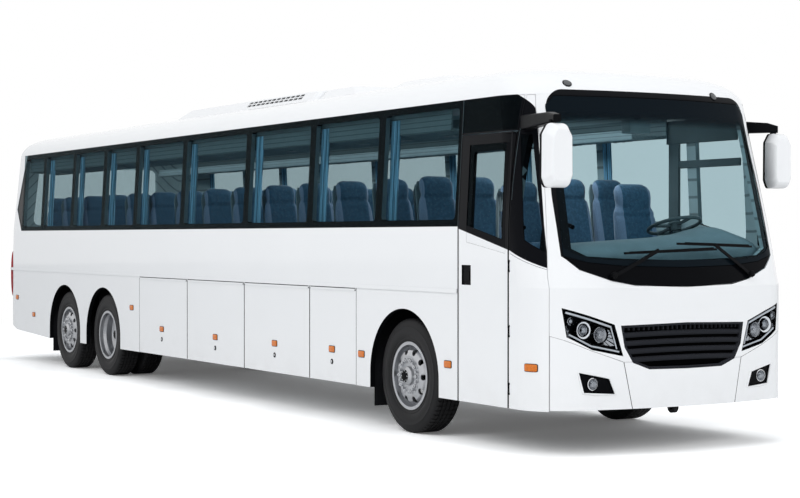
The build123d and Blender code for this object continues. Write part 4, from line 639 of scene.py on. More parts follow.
# nodes, finish and the faces that take it; a later row paints over an earlier one
RECOLOURS = (
    # faces off the skin are black: the black frame behind the panes, and painted shade on the returns in the
    # seams
    (WALLS, "black_satin", behind_skin),
    (WALLS, "lining", cabin_side),
    (WALLS, "rack", window_side),
    (("front_bumper", "rear_bumper"), "black_satin", off_skin),
    (("rear_wall",), "black_gloss", rear_window_rim),
    (("rear_wall",), "lining", lambda c, n: n.x > 0.3 and abs(c.y) < 1.25),
    (("rear_wall",), "paint", lambda c, n: n.x < -0.2 and abs(c.y) > 1.06 and c.z > 1.6),
    (("roof_shell",), "lining", lambda c, n: faces_outward(c, -n) and c.z < HEADLINING_Z),
    # black off the doors' skin: painted shade in the seams round them
    (DOORS, "black_satin", off_skin),
    # painted shade on whatever lies behind the grille's slats
    (("radiator_grille",), "grille_deep", grille_hollow),
    (("entry_door",), "black_gloss", in_recess),
    (("entry_door",), "black_satin", lambda c, n: c.x > DOOR_HINGE_X - 0.012),
    (("side_wall_right",), "black_satin", lambda c, n: abs(c.x - DOOR_HINGE_X) < 0.022 and c.y < -1.3005),
    (("roof_units",), "black_satin", in_air_slot),
)


class COACH_OT_nodes(bpy.types.Operator):
    """Put the finishes on the coach's packed panels and fittings"""

    bl_idname = "coach.nodes"
    bl_label = "Panels"

    def execute(self, context):
        for name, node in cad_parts.items():
            node.data.materials.clear()
            node.data.materials.append(FINISH[NODE_FINISH[finish_of(name)]])
            for face in node.data.polygons:
                face.material_index = 0
        for names, finish, test in RECOLOURS:
            for name in names:
                recolour(name, finish, test)
        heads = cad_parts["mirror_heads"].data.polygons
        heads.foreach_set("use_smooth", [True] * len(heads))
        return {"FINISHED"}


# ================================================================ mesh making
BEVEL_STEPS = 2


class Form:
    """A mesh in the making, in coach metres; each face keeps the number of its finish."""

    def __init__(self):
        self.points = []
        self.faces = []
        self.marks = []

    def add(self, points, faces, mark=0):
        base = len(self.points)
        self.points.extend(tuple(p) for p in points)
        self.faces.extend([base + i for i in face] for face in faces)
        self.marks.extend([mark] * len(faces))

    def rings(self, rings, mark=0, round_on=False, caps=True):
        """Skin over rings of as many points each; round_on joins the last ring to the first."""
        n = len(rings[0])
        points = [p for ring in rings for p in ring]
        faces = []
        count = len(rings)
        for k in range(count if round_on else count - 1):
            a, b = k * n, ((k + 1) % count) * n
            faces.extend([a + i, a + (i + 1) % n, b + (i + 1) % n, b + i] for i in range(n))
        if caps and not round_on:
            faces.append(list(range(n))[::-1])
            faces.append([(count - 1) * n + i for i in range(n)])
        self.add(points, faces, mark)

    def turned(self, profile, centre, axis, steps=32, mark=0, ripple=0.0, lobes=0):
        """A closed (radius, along) profile turned about an axis through centre."""
        axis = Vector(axis).normalized()
        side = axis.orthogonal().normalized()
        up = axis.cross(side)
        rings = []
        for k in range(steps):
            a = 2 * math.pi * k / steps
            out = side * math.cos(a) + up * math.sin(a)
            swell = 1.0 + ripple * math.cos(lobes * a)
            rings.append([Vector(centre) + out * (r * swell) + axis * w for r, w in profile])
        self.rings(rings, mark, round_on=True)

    def tube(self, path, radius, sides=10, mark=0):
        """Round bar along a path, with closed ends."""
        path = [Vector(p) for p in path]
        rings = []
        before = None
        for k, point in enumerate(path):
            along = (path[min(k + 1, len(path) - 1)] - path[max(k - 1, 0)]).normalized()
            if before is None:
                side = along.orthogonal().normalized()
            else:
                side = (before - along * before.dot(along)).normalized()
            before = side
            up = along.cross(side)
            rings.append([point + (side * math.cos(2 * math.pi * i / sides)
                                   + up * math.sin(2 * math.pi * i / sides)) * radius for i in range(sides)])
        self.rings(rings, mark)

    def slab(self, outline, depth, mark=0):
        """A flat outline of points thickened along a vector."""
        depth = Vector(depth)
        near = [Vector(p) for p in outline]
        self.rings([near, [p + depth for p in near]], mark)

    def block(self, low, high, mark=0):
        (x0, y0, z0), (x1, y1, z1) = low, high
        self.slab([(x0, y0, z0), (x1, y0, z0), (x1, y1, z0), (x0, y1, z0)], (0, 0, z1 - z0), mark)

    def copy_in(self, other, move):
        """Another form's mesh, moved by a matrix."""
        base = len(self.points)
        self.points.extend(tuple(move @ Vector(p)) for p in other.points)
        self.faces.extend([base + i for i in face] for face in other.faces)
        self.marks.extend(other.marks)

    def shown(self, name):
        """The mesh so far, as an object in the scene."""
        mesh = bpy.data.meshes.new(name)
        mesh.from_pydata(self.points, [], self.faces)
        obj = bpy.data.objects.new(name, mesh)
        bpy.context.scene.collection.objects.link(obj)
        return obj

    def piece(self, name, finishes, body=BODY, soft=0.0, corner=35.0):
        """The finished object, on its body: soft rounds its edges, corner is the angle of a sharp one."""
        obj = self.shown(name)
        mesh = obj.data
        for finish in finishes:
            mesh.materials.append(FINISH[finish])
        for face, mark in zip(mesh.polygons, self.marks):
            face.material_index = mark
            face.use_smooth = True
        tidy(mesh)
        mesh.set_sharp_from_angle(angle=math.radians(corner))
        if soft:
            bevel = obj.modifiers.new("soft_edges", "BEVEL")
            bevel.width = soft
            bevel.segments = BEVEL_STEPS
            bevel.limit_method = "ANGLE"
        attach(obj, body)
        return obj


def tidy(mesh):
    """Turn every face of a mesh outward."""
    work = bmesh.new()
    work.from_mesh(mesh)
    bmesh.ops.remove_doubles(work, verts=work.verts, dist=1e-6)
    bmesh.ops.recalc_face_normals(work, faces=work.faces)
    work.to_mesh(mesh)
    work.free()


def bounded(value, low, high):
    return max(low, min(high, value))


def between(a, b, share):
    return a + (b - a) * share


def curved(value, power):
    """A power that keeps its number's sign; under 1 it squares a circle's coordinates."""
    return math.copysign(abs(value) ** power, value)


def along_curve(points, steps):
    """Smooth path through a few points."""
    points = [Vector(p) for p in points]
    ends = [2 * points[0] - points[1]] + points + [2 * points[-1] - points[-2]]
    out = []
    for k in range(len(points) - 1):
        a, b, c, d = ends[k:k + 4]
        for i in range(steps):
            t = i / steps
            out.append(0.5 * ((2 * b) + (c - a) * t + (2 * a - 5 * b + 4 * c - d) * t * t
                              + (3 * b - a - 3 * c + d) * t ** 3))
    return out + [points[-1]]


# ================================================================ the body's own curves
HALF = 1.30
NOSE = 6.60
NOSE_BOW = 4.20             # plan radius of the nose
CORNER = 0.40               # plan radius of its corners
RAKE_FROM = 1.33            # the nose leans back from here up
RAKE_SLOPE = 0.40 / 1.55
LEAN_FROM = 1.82            # the sides lean in from here up
LEAN_SLOPE = 0.06 / 1.06


def side_y(z):
    """Half width of the outer skin at a height."""
    return HALF - LEAN_SLOPE * max(0.0, z - LEAN_FROM)


def nose_x(y, z=0.0):
    """Where the outer skin of the nose lies, at a distance from the middle and a height."""
    corner_y = HALF - CORNER
    reach = math.sqrt((NOSE_BOW - CORNER) ** 2 - corner_y ** 2)
    meet = NOSE_BOW * math.sin(math.atan2(corner_y, reach))
    back = RAKE_SLOPE * max(0.0, z - RAKE_FROM)
    y = abs(y)
    if y < meet:
        return NOSE - NOSE_BOW + math.sqrt(NOSE_BOW ** 2 - y * y) - back
    return NOSE - NOSE_BOW + reach + math.sqrt(max(0.0, CORNER ** 2 - (y - corner_y) ** 2)) - back


def on_nose(y, z, out=0.0):
    """A point of the nose's skin, moved outward along its normal."""
    step = 0.002
    slope = (nose_x(y + step, z) - nose_x(y - step, z)) / (2 * step)
    lean = RAKE_SLOPE if z > RAKE_FROM else 0.0
    normal = Vector((1.0, -slope, lean)).normalized()
    return Vector((nose_x(y, z), y, z)) + normal * out


# ================================================================ wheels
TYRE_R = 0.506
RIM_R = 0.2863
TYRE_W = 0.276
FACE_Y = 1.25               # outer face of the outer tyres
TWIN_PITCH = 0.322
AXLES = {"front": 4.30, "drive": -3.12, "tag": -4.54}
STUDS = 10
STUD_R = 0.142
SIDEWALL = ((0.0, 0.0253), (0.018, 0.0213), (0.034, 0.015), (0.042, 0.0105), (0.050, 0.0125), (0.066, 0.004),
            (0.090, 0.0005), (0.114, 0.0), (0.140, 0.0025), (0.146, 0.0008), (0.150, 0.0038), (0.176, 0.008),
            (0.196, 0.0145), (0.2077, 0.022))
RIBS = 5
CROWN_EDGE = 0.038          # from the tyre's face to the edge of its tread
SHOULDER_CUT = 0.009        # depth of the cuts between the tread blocks of the outer ribs
RIB_CUT = 0.004             # and of the inner ribs
GROOVE_DRAFT = 0.0012       # how much narrower a groove is at its foot, on each side
BLOCK_SHAPE = ((0.0, 0.0), (0.76, 0.0), (0.80, 1.0), (0.96, 1.0))      # share of a pitch, of the cut's depth


def tyre(form, x, y_out, s, sizes):
    """One tyre: ribbed side walls, five ribs of tread blocks and the grooves between them."""
    span = TYRE_W - 2 * CROWN_EDGE
    rib = (span - (RIBS - 1) * sizes.groove_width) / RIBS
    half = [(RIM_R + r, d, 0.0) for r, d in SIDEWALL]
    tread = []
    at = CROWN_EDGE
    for k in range(RIBS):
        notch = SHOULDER_CUT if k in (0, RIBS - 1) else RIB_CUT
        tread += [(TYRE_R, at, notch), (TYRE_R, at + rib, notch)]
        at += rib
        if k < RIBS - 1:
            low = TYRE_R - sizes.groove_depth
            tread += [(low, at + GROOVE_DRAFT, 0.0), (low, at + sizes.groove_width - GROOVE_DRAFT, 0.0)]
            at += sizes.groove_width
    profile = half + tread + [(r, TYRE_W - d, n) for r, d, n in reversed(half)]
    pitches = sizes.tread_pitches
    rings = []
    for k in range(pitches):
        for share, cut in BLOCK_SHAPE:
            a = 2 * math.pi * (k + share) / pitches
            ring = []
            for r, d, notch in profile:
                radius = r - notch * cut
                ring.append((x + math.sin(a) * radius, s * (y_out - d), TYRE_R + math.cos(a) * radius))
            rings.append(ring)
    form.rings(rings, round_on=True)


class COACH_OT_tyres(bpy.types.Operator):
    """Fit tyres with side wall ribs and tread blocks"""

    bl_idname = "coach.tyres"
    bl_label = "Tyres"

    def execute(self, context):
        sizes = context.scene.coach_sizes
        for side, s in SIDES:
            for axle, x in AXLES.items():
                form = Form()
                tyre(form, x, FACE_Y, s, sizes)
                if axle == "drive":
                    tyre(form, x, FACE_Y - TWIN_PITCH, s, sizes)
                name = axle + "_" + side
                piece = form.piece("treaded_tyre_" + name, ["tyre"], axle + "_wheel_" + side, corner=28.0)
                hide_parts("tyre_" + name)
        return {"FINISHED"}


DISH = {"front": 0.010, "drive": 0.262, "tag": 0.010}      # from the tyre's face in to the wheel's disc
CAP_OUT = {"front": 0.046, "drive": 0.150, "tag": 0.046}   # from the disc out to the hub cover's face
# (radius, height) profiles about a stud, and on the hub cover
WASHER = ((0.0145, 0.0005), (0.023, 0.0005), (0.023, 0.004), (0.0145, 0.0055))
STUD_END = ((0.0, 0.024), (0.0105, 0.024), (0.0105, 0.033), (0.0085, 0.035), (0.0, 0.035))
HUB_COVER = ((0.0, 0.0004), (0.056, 0.0004), (0.054, 0.004), (0.030, 0.0062), (0.0, 0.0062))
NUT = ((0.0185, 0.005), (0.0185, 0.022), (0.0185 * 0.86, 0.025))
BOLT = ((0.0062, -0.003), (0.0062, 0.004), (0.005, 0.005))
BOLTS = 8
BOLT_R = 0.047              # circle of the hub cover's bolts
VALVE = ((0.2, -0.055, 0.02), (0.215, -0.035, 0.022), (0.222, -0.008, 0.023))      # along, out and up


def hexagon(centre, radius, axis_y, turn):
    """Ring of six corners about an axis across the coach."""
    x, y, z = centre
    return [(x + math.cos(turn + k * math.pi / 3) * radius, y + axis_y,
             z + math.sin(turn + k * math.pi / 3) * radius) for k in range(6)]


def wheel_fittings(axle, side, s):
    """Wheel nuts with their washers and stud ends, the hub cover's bolts and a valve."""
    form = Form()
    x = AXLES[axle]
    face = s * (FACE_Y - DISH[axle])
    out = (0, s, 0)
    for k in range(STUDS):
        a = 2 * math.pi * (k + 0.5) / STUDS
        centre = Vector((x + math.sin(a) * STUD_R, face, TYRE_R + math.cos(a) * STUD_R))
        form.turned(WASHER, centre, out, 18, 1)
        form.rings([hexagon(centre, r, s * w, a) for r, w in NUT])
        form.turned(STUD_END, centre, out, 14, 1)
    tip = Vector((x, face + s * CAP_OUT[axle], TYRE_R))
    form.turned(HUB_COVER, tip, out, 36, 2)
    for k in range(BOLTS):
        a = 2 * math.pi * k / BOLTS
        centre = tip + Vector((math.sin(a) * BOLT_R, 0, math.cos(a) * BOLT_R))
        form.rings([hexagon(centre, r, s * w, a) for r, w in BOLT])
    stem = [(x + along, face + s * outward, TYRE_R + up) for along, outward, up in VALVE]
    form.tube(along_curve(stem, 4), 0.0045, 10, 1)
    name = axle + "_" + side
    finishes = ["chrome", "bright_steel", "black_gloss"]
    piece = form.piece("wheel_nuts_" + name, finishes, axle + "_wheel_" + side, corner=40.0)


class COACH_OT_wheel_fittings(bpy.types.Operator):
    """Fit the nuts, hub bolts and valves of all wheels"""

    bl_idname = "coach.wheel_fittings"
    bl_label = "Wheel fittings"

    def execute(self, context):
        for side, s in SIDES:
            for axle in AXLES:
                wheel_fittings(axle, side, s)
        return {"FINISHED"}


# ================================================================ seats
FLOOR_Z = 1.23
CAB_Z = 1.06                # foot of the driver's seat
FIRST_ROW = 4.35
ROW_PITCH = 0.78
ROWS = 13
SEAT_W = 0.44
SEAT_YS = (0.51, 0.956)
SEAT_ROWS = [FIRST_ROW - ROW_PITCH * k for k in range(ROWS)]
BENCH_X = FIRST_ROW - ROW_PITCH * ROWS - 0.02
BENCH_YS = (-0.90, -0.45, 0.0, 0.45, 0.90)
DRIVER_AT = (5.33, 0.48)
DRIVER_W = 0.50
DRIVER_TALL = 1.09          # the driver's back is taller than a passenger's
# height, front face x, rear face x, half width as a share of the seat's, hollow between the side bolsters
BACK_STATIONS = (
    (0.345, 0.070, -0.010, 0.86, 0.004), (0.375, 0.086, -0.026, 0.94, 0.010),
    (0.430, 0.098, -0.034, 0.96, 0.020), (0.520, 0.080, -0.048, 0.96, 0.026),
    (0.640, 0.052, -0.064, 0.955, 0.026), (0.760, 0.024, -0.080, 0.93, 0.024),
    (0.830, 0.010, -0.092, 0.880, 0.016), (0.856, -0.006, -0.095, 0.800, 0.008),
    (0.878, 0.006, -0.098, 0.770, 0.012), (0.940, 0.000, -0.108, 0.80, 0.016),
    (0.995, -0.012, -0.118, 0.78, 0.010), (1.035, -0.032, -0.124, 0.68, 0.004),
    (1.058, -0.062, -0.120, 0.48, 0.0),
)
# distance from the back, height of the top face, foot, half width share, hollow
PAD_STATIONS = (
    (0.098, 0.425, 0.350, 0.88, 0.002), (0.125, 0.440, 0.338, 0.95, 0.008),
    (0.220, 0.446, 0.334, 0.96, 0.014), (0.340, 0.450, 0.334, 0.96, 0.012),
    (0.420, 0.448, 0.336, 0.95, 0.006), (0.462, 0.428, 0.346, 0.92, 0.002),
    (0.480, 0.405, 0.362, 0.86, 0.0),
)
SECTION_POINTS = 28
SECTION_POWERS = (0.45, 0.6)        # roundness of a cushion's section across and through it
HOLLOW_SHARE = 0.72         # share of the half width that lies between the side bolsters


def section(near, far, half, hollow):
    """Soft cross-section of a cushion: (face, across) points, hollowed between its side bolsters."""
    middle = (near + far) / 2
    depth = (near - far) / 2
    out = []
    for k in range(SECTION_POINTS):
        a = 2 * math.pi * k / SECTION_POINTS
        c, q = math.cos(a), math.sin(a)
        across = half * curved(c, SECTION_POWERS[0])
        face = middle + depth * curved(q, SECTION_POWERS[1])
        if q > 0:
            face -= hollow * max(0.0, 1.0 - (across / (half * HOLLOW_SHARE)) ** 4)
        out.append((face, across))
    return out


def cushion(kind, width):
    """Plain stuffed form of a seat back or pad, about the seat's own point on the floor."""
    form = Form()
    rings = []
    if kind == "back":
        tall = DRIVER_TALL if width == DRIVER_W else 1.0
        for z, front, rear, share, hollow in BACK_STATIONS:
            rings.append([(x, y, z * tall) for x, y in section(front, rear, width / 2 * share, hollow)])
    else:
        for x, top, foot, share, hollow in PAD_STATIONS:
            rings.append([(x, y, z) for z, y in section(top, foot, width / 2 * share, hollow)])
    form.rings(rings)
    return form


CLOTH_STEPS = 20            # frames that the cloth runs for
AIR_PRESSURE = 4.0


def as_modified(obj):
    """A new mesh with the object's modifiers applied."""
    return bpy.data.meshes.new_from_object(obj.evaluated_get(bpy.context.evaluated_depsgraph_get()))


def blown(name, form, sizes):
    """The form's mesh after air has filled it: remeshed evenly, swollen as cloth and eased."""
    scene = bpy.context.scene
    obj = form.shown(name)
    tidy(obj.data)
    remesh = obj.modifiers.new("even", "REMESH")
    remesh.mode = "VOXEL"
    remesh.voxel_size = sizes.seat_voxel
    even = as_modified(obj)
    obj.modifiers.clear()
    obj.data = even
    before = [v.co.copy() for v in even.vertices]
    cloth = obj.modifiers.new("cloth", "CLOTH")
    cloth.settings.quality = 6
    cloth.settings.use_pressure = True
    cloth.settings.uniform_pressure_force = AIR_PRESSURE
    cloth.settings.effector_weights.gravity = 0.0
    cloth.point_cache.frame_end = CLOTH_STEPS
    for step in range(1, CLOTH_STEPS + 1):
        scene.frame_set(step)
    puffed = as_modified(obj)
    after = [v.co.copy() for v in puffed.vertices]
    obj.modifiers.clear()
    scene.frame_set(1)
    for vertex, old, new in zip(even.vertices, before, after):
        move = new - old
        if move.length > sizes.seat_swell:
            move *= sizes.seat_swell / move.length
        vertex.co = old + move
    smooth = obj.modifiers.new("eased", "SMOOTH")
    smooth.factor = 0.5
    smooth.iterations = 2
    done = as_modified(obj)
    bpy.data.objects.remove(obj)
    out = Form()
    out.add([v.co for v in done.vertices], [list(p.vertices) for p in done.polygons])
    return out


# sewn seams: where each lies, how far it draws the cover in and its half width
HEADREST_SEAM = (0.856, 0.009, 0.012)
BOLSTER_SEAM = (0.143, 0.006, 0.010)
BACK_FRONT_X = -0.05        # a seam is drawn in only on the front of a back, and only on the top of a pad
PAD_TOP_Z = 0.40


def drawn_in(at, seam):
    """How far a seam draws in a point at a distance along the cover."""
    middle, depth, width = seam
    return depth * math.exp(-((at - middle) / width) ** 2)


def sewn(form, kind):
    """Draw the seams of a back or pad in by a few millimetres."""
    points = []
    for x, y, z in form.points:
        pull = drawn_in(abs(y), BOLSTER_SEAM)
        if kind == "back":
            pull += drawn_in(z, HEADREST_SEAM)
            points.append((x - pull if x > BACK_FRONT_X else x, y, z))
        else:
            points.append((x, y, z - pull if z > PAD_TOP_Z else z))
    form.points = points
    return form


def upholster(name, spots, back, pad, replaced):
    """One piece that holds the covers of several seats at their places."""
    form = Form()
    across = []
    is_back = []
    for x, y, z in spots:
        for part, flag in ((back, 1.0), (pad, 0.0)):
            form.copy_in(part, Matrix.Translation((x, y, z)))
            across.extend(abs(p[1]) for p in part.points)
            is_back.extend([flag] * len(part.points))
    obj = form.shown(name)
    mesh = obj.data
    for key, values in (("across", across), ("back", is_back)):
        mesh.attributes.new(key, "FLOAT", "POINT").data.foreach_set("value", values)
    mesh.materials.append(FINISH["seat"])
    mesh.polygons.foreach_set("use_smooth", [True] * len(mesh.polygons))
    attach(obj, BODY)
    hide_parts(replaced)


class COACH_OT_seats(bpy.types.Operator):
    """Upholster the passenger seats, the rear bench and the driver's seat"""

    bl_idname = "coach.seats"
    bl_label = "Seats"

    def execute(self, context):
        sizes = context.scene.coach_sizes
        parts = {}
        for width in (SEAT_W, DRIVER_W):
            for kind in ("back", "pad"):
                parts[width, kind] = sewn(blown("filled_" + kind, cushion(kind, width), sizes), kind)
        back, pad = parts[SEAT_W, "back"], parts[SEAT_W, "pad"]
        for side, s in SIDES:
            spots = [(x, s * y, FLOOR_Z) for x in SEAT_ROWS for y in SEAT_YS]
            upholster("seat_covers_" + side, spots, back, pad, "seats_" + side)
        upholster("bench_covers", [(BENCH_X, y, FLOOR_Z) for y in BENCH_YS], back, pad, "rear_bench")
        upholster("driver_seat_cover", [(*DRIVER_AT, CAB_Z)], parts[DRIVER_W, "back"], parts[DRIVER_W, "pad"],
                  "driver_seat")
        return {"FINISHED"}


class COACH_OT_seat_trim(bpy.types.Operator):
    """Fit the back shells and aisle armrests of the seats"""

    bl_idname = "coach.seat_trim"
    bl_label = "Seat trim"

    def execute(self, context):
        form = Form()
        for x in SEAT_ROWS:
            for s in (-1, 1):
                for y in SEAT_YS:
                    seat_shell(form, x, s * y)
                armrest(form, x, s * (SEAT_YS[0] - SEAT_W / 2 - ARM_GAP))
        piece = form.piece("seat_trim", ["black_satin", "rack"], corner=40.0)
        return {"FINISHED"}


# height, x behind the seat's own point, and share of the shell's half width
SHELL_STATIONS = ((0.40, -0.036, 1.0), (0.60, -0.064, 1.0), (0.80, -0.092, 1.0), (0.93, -0.112, 1.0),
                  (1.0, -0.124, 0.86))
SHELL_SHARE = 0.84          # share of the seat's width
SHELL_BACK = 0.010          # how far the shell stands behind its stations
SHELL_BOW = 0.006
SHELL_THICK = 0.016
SHELL_STEPS = 8


def seat_shell(form, x, y):
    """Moulded panel on the rear of a seat back."""
    half = SEAT_W / 2 * SHELL_SHARE
    rings = []
    for z, out, share in SHELL_STATIONS:
        h = half * share
        ring = []
        for k in range(SHELL_STEPS + 1):
            across = -h + 2 * h * k / SHELL_STEPS
            bow = SHELL_BOW * (across / h) ** 2
            ring.append((x + out - SHELL_BACK + bow, y + across, FLOOR_Z + z))
        rings.append(ring + [(a + SHELL_THICK, b, c) for a, b, c in reversed(ring)])
    form.rings(rings, 1)


ARM_GAP = 0.012             # from the seat's edge to the middle of its armrest
# radius, sides and (x, height) points of the padded arm and its stay
ARM = (0.021, 10, ((0.0, 0.60), (0.10, 0.615), (0.24, 0.61), (0.31, 0.59)))
STAY = (0.012, 8, ((0.02, 0.59), (0.03, 0.48), (0.10, 0.36), (0.14, 0.30)))


def armrest(form, x, y):
    """Padded arm on a curved stay beside the gangway."""
    for radius, sides, path in (ARM, STAY):
        form.tube(along_curve([(x + ahead, y, FLOOR_Z + up) for ahead, up in path], 4), radius, sides)


# ================================================================ curtains
PANE_SEAMS = (-5.472, -4.292, -3.162, -2.078, -0.656, 1.020, 2.480, 3.834)
CURTAIN_Z = (1.882, 2.778)
CURTAIN_FOOT_Y = 1.2247     # middle of the cloth at its foot
CURTAIN_LEAN = 0.045
FOLDS = 6
GATHER = 0.140              # width of a gathered curtain
CURTAIN_AHEAD = 0.140       # from a pane's seam to the middle of its curtain
FOLD_POINTS = 14            # points across each fold
CURTAIN_ROWS = 16
CURTAIN_PINCH = (0.10, 0.42, 0.12)      # share it narrows by, at what share of its height, over how much


def fold_depth(flat_width):
    """Depth of the folds that takes a flat width up in the gathered one."""
    low, high = 0.0, 0.05
    for _ in range(40):
        depth = (low + high) / 2
        run = 0.0
        last = None
        for k in range(201):
            t = k / 200
            point = (t * GATHER, depth * math.sin(2 * math.pi * FOLDS * t))
            if last:
                run += math.dist(point, last)
            last = point
        low, high = (depth, high) if run < flat_width else (low, depth)
    return depth


def curtain(seam, s, index, depth):
    """The cloth of one curtain, ahead of a pane's seam."""
    low, high = CURTAIN_Z
    narrow, waist, reach = CURTAIN_PINCH
    across, rows = FOLDS * FOLD_POINTS, CURTAIN_ROWS
    points = []
    for j in range(rows + 1):
        v = j / rows
        y = CURTAIN_FOOT_Y - CURTAIN_LEAN * v
        pinch = 1.0 - narrow * math.exp(-((v - waist) / reach) ** 2)
        for i in range(across + 1):
            u = i / across - 0.5
            wander = 0.10 * math.sin(3.1 * v + index) * math.sin(2 * math.pi * u * 1.5)
            fold = depth * math.sin(2 * math.pi * FOLDS * (u + 0.5) + wander + 0.3 * math.sin(5 * v))
            points.append((seam + CURTAIN_AHEAD + u * GATHER * pinch, s * (y + fold - depth * 0.25),
                           between(low, high, v)))
    n = across + 1
    form = Form()
    corners = [a for j in range(rows) for a in range(j * n, j * n + across)]
    form.add(points, [[a, a + 1, a + 1 + n, a + n] for a in corners])
    return form


class COACH_OT_curtains(bpy.types.Operator):
    """Hang a gathered curtain beside every window pillar"""

    bl_idname = "coach.curtains"
    bl_label = "Curtains"

    def execute(self, context):
        sizes = context.scene.coach_sizes
        depth = fold_depth(sizes.curtain_flat)
        for side, s in SIDES:
            for index, seam in enumerate(PANE_SEAMS):
                obj = curtain(seam, s, index, depth).shown(f"curtain_{side}_{index + 1}")
                obj.data.materials.append(FINISH["curtain"])
                obj.data.polygons.foreach_set("use_smooth", [True] * len(obj.data.polygons))
                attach(obj, BODY)
                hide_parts("curtains")
        return {"FINISHED"}


# ================================================================ outside fittings
# distance along the coach, height and the panel that carries each side marker lamp
MARKERS = ((-6.527, 0.878, "wall"), (-5.80, 0.660, "wall"), (-2.149, 0.883, "wall"), (-1.211, 0.667, "bay_1"),
           (0.286, 0.649, "bay_2"), (1.737, 0.659, "bay_3"), (2.966, 0.670, "bay_4"), (3.542, 0.657, "wall"),
           (5.043, 0.657, "wall"), (6.231, 0.703, "nose"))
LOCK_DROP = 0.118           # from a marker down to the lock of its bay door
# share of a plate's size and share of its depth, from its edge to its crown
PLATE = ((1.0, 0.7), (0.93, 1.0), (0.5, 1.25), (0.02, 1.3))
PLATE_POWER = 0.3           # squareness of its outline
PLATE_STEPS = 24
MARKER_RIM = 0.010          # how much larger the marker's base is than its lens
LOCK_PLATE = ((0.0, 0.0003), (0.026, 0.0003), (0.0255, 0.003), (0.022, 0.0045), (0.0, 0.0045))
LOCK_BARREL = ((0.0, 0.0042), (0.012, 0.0042), (0.012, 0.007), (0.010, 0.008), (0.0, 0.008))
KEY_SLOT = (0.002, 0.0015, 0.007)       # half its length, depth and height


def side_point(x, z, s, out):
    """A point on the side skin, or round the nose corner, moved outward."""
    corner_x = NOSE - NOSE_BOW + math.sqrt((NOSE_BOW - CORNER) ** 2 - (HALF - CORNER) ** 2)
    if x <= corner_x:
        return Vector((x, s * (side_y(z) + out), z))
    run = (x - corner_x) / CORNER
    a = math.asin(min(run, 1.0))
    reach = CORNER + out
    return Vector((corner_x + math.sin(a) * reach, s * (HALF - CORNER + math.cos(a) * reach), z))


def patch(form, x, z, s, width, height, out, depth, mark):
    """A crowned plate with rounded corners that follows the side skin."""
    rings = []
    for share, lift in [(1.0, -0.002)] + [(share, depth * rise) for share, rise in PLATE]:
        ring = []
        for k in range(PLATE_STEPS):
            a = 2 * math.pi * k / PLATE_STEPS
            u = curved(math.cos(a), PLATE_POWER) * width / 2 * share
            v = curved(math.sin(a), PLATE_POWER) * height / 2 * share
            ring.append(side_point(x + u, z + v, s, out + lift))
        rings.append(ring)
    form.rings(rings, mark)


class COACH_OT_side_markers(bpy.types.Operator):
    """Fit the amber side lamps and the bay door locks"""

    bl_idname = "coach.side_markers"
    bl_label = "Side markers and locks"

    def execute(self, context):
        sizes = context.scene.coach_sizes
        w, h = sizes.marker_width, sizes.marker_height
        for side, s in SIDES:
            forms = {}
            for x, z, panel in MARKERS:
                form = forms.setdefault(panel if panel.startswith("bay") else "wall", Form())
                patch(form, x, z, s, w + MARKER_RIM, h + MARKER_RIM, 0.0, 0.004, 1)
                patch(form, x, z, s, w, h, 0.003, 0.006, 0)
                if panel.startswith("bay"):
                    lock(form, x, z - LOCK_DROP, s)
            for panel, form in forms.items():
                bay = panel.startswith("bay")
                body = f"bay_door_{side}_{panel[-1]}_leaf" if bay else BODY
                piece = form.piece(f"side_markers_{panel}_{side}", ["amber", "black_satin", "chrome"], body)
        return {"FINISHED"}


def lock(form, x, z, s):
    """Round paddle lock: an escutcheon, its barrel and a key slot rim."""
    centre = side_point(x, z, s, 0.0)
    out = (0, s, 0)
    form.turned(LOCK_PLATE, centre, out, 28, 1)
    form.turned(LOCK_BARREL, centre, out, 20, 2)
    u, v, w = KEY_SLOT
    form.block(centre + Vector((-u, s * 0.0065 - v, -w)), centre + Vector((u, s * 0.0065 + v, w)), 1)


# ---------------------------------------------------------------- lamps
FOG_OUTLINE = ((0.990, 0.668), (0.737, 0.615), (0.688, 0.495), (0.948, 0.511))
# round lights: distance from the middle, height, radius and how far the bowl lies behind the skin
HEAD_LIGHTS = ((0.940, 1.000, 0.042, 0.024), (0.798, 0.962, 0.060, 0.024), (1.046, 1.072, 0.027, 0.022))
FOG_LIGHT = (0.870, 0.576, 0.043, 0.012)
FOG_STEPS = 48
FOG_INSET = 0.010           # from the outline in to the bezel
FINS = 24
FLUTE = 0.016               # ripple of a bowl's flutes, as a share of its radius
# light guides along the headlamp's edges: two ends as (from the middle, height), rise above that line,
# depth behind the skin and radius
GUIDES = (((1.085, 1.163), (0.900, 1.108), -0.022, 0.014, 0.0085),
          ((0.900, 1.108), (0.712, 1.044), -0.022, 0.014, 0.0085),
          ((0.712, 1.044), (0.660, 0.870), -0.022, 0.016, 0.0055),
          ((1.060, 0.945), (0.880, 0.853), 0.022, 0.016, 0.0070),
          ((0.880, 0.853), (0.640, 0.803), 0.022, 0.016, 0.0070))
GUIDE_STEPS = 10
SQUARES = ((1.080, 1.020), (1.066, 0.990), (1.052, 0.960))      # the small square reflectors
SQUARE_HALF = 0.011


def bowl(form, y, z, radius, back, fins, mark):
    """Bright reflector: a fluted bowl with a rolled rim."""
    tip = Vector((nose_x(y, z) - back, y, z))
    r = radius
    curve = [(r, 0.0), (r * 0.93, -0.004), (r * 0.78, -r * 0.34), (r * 0.52, -r * 0.62),
             (r * 0.24, -r * 0.76)]
    behind = [(r * 0.24, -r * 0.80), (r * 0.56, -r * 0.67), (r * 0.84, -r * 0.38), (r * 0.99, -0.006)]
    form.turned(curve + behind, tip, (1, 0, 0), fins * 3, mark, FLUTE, fins)


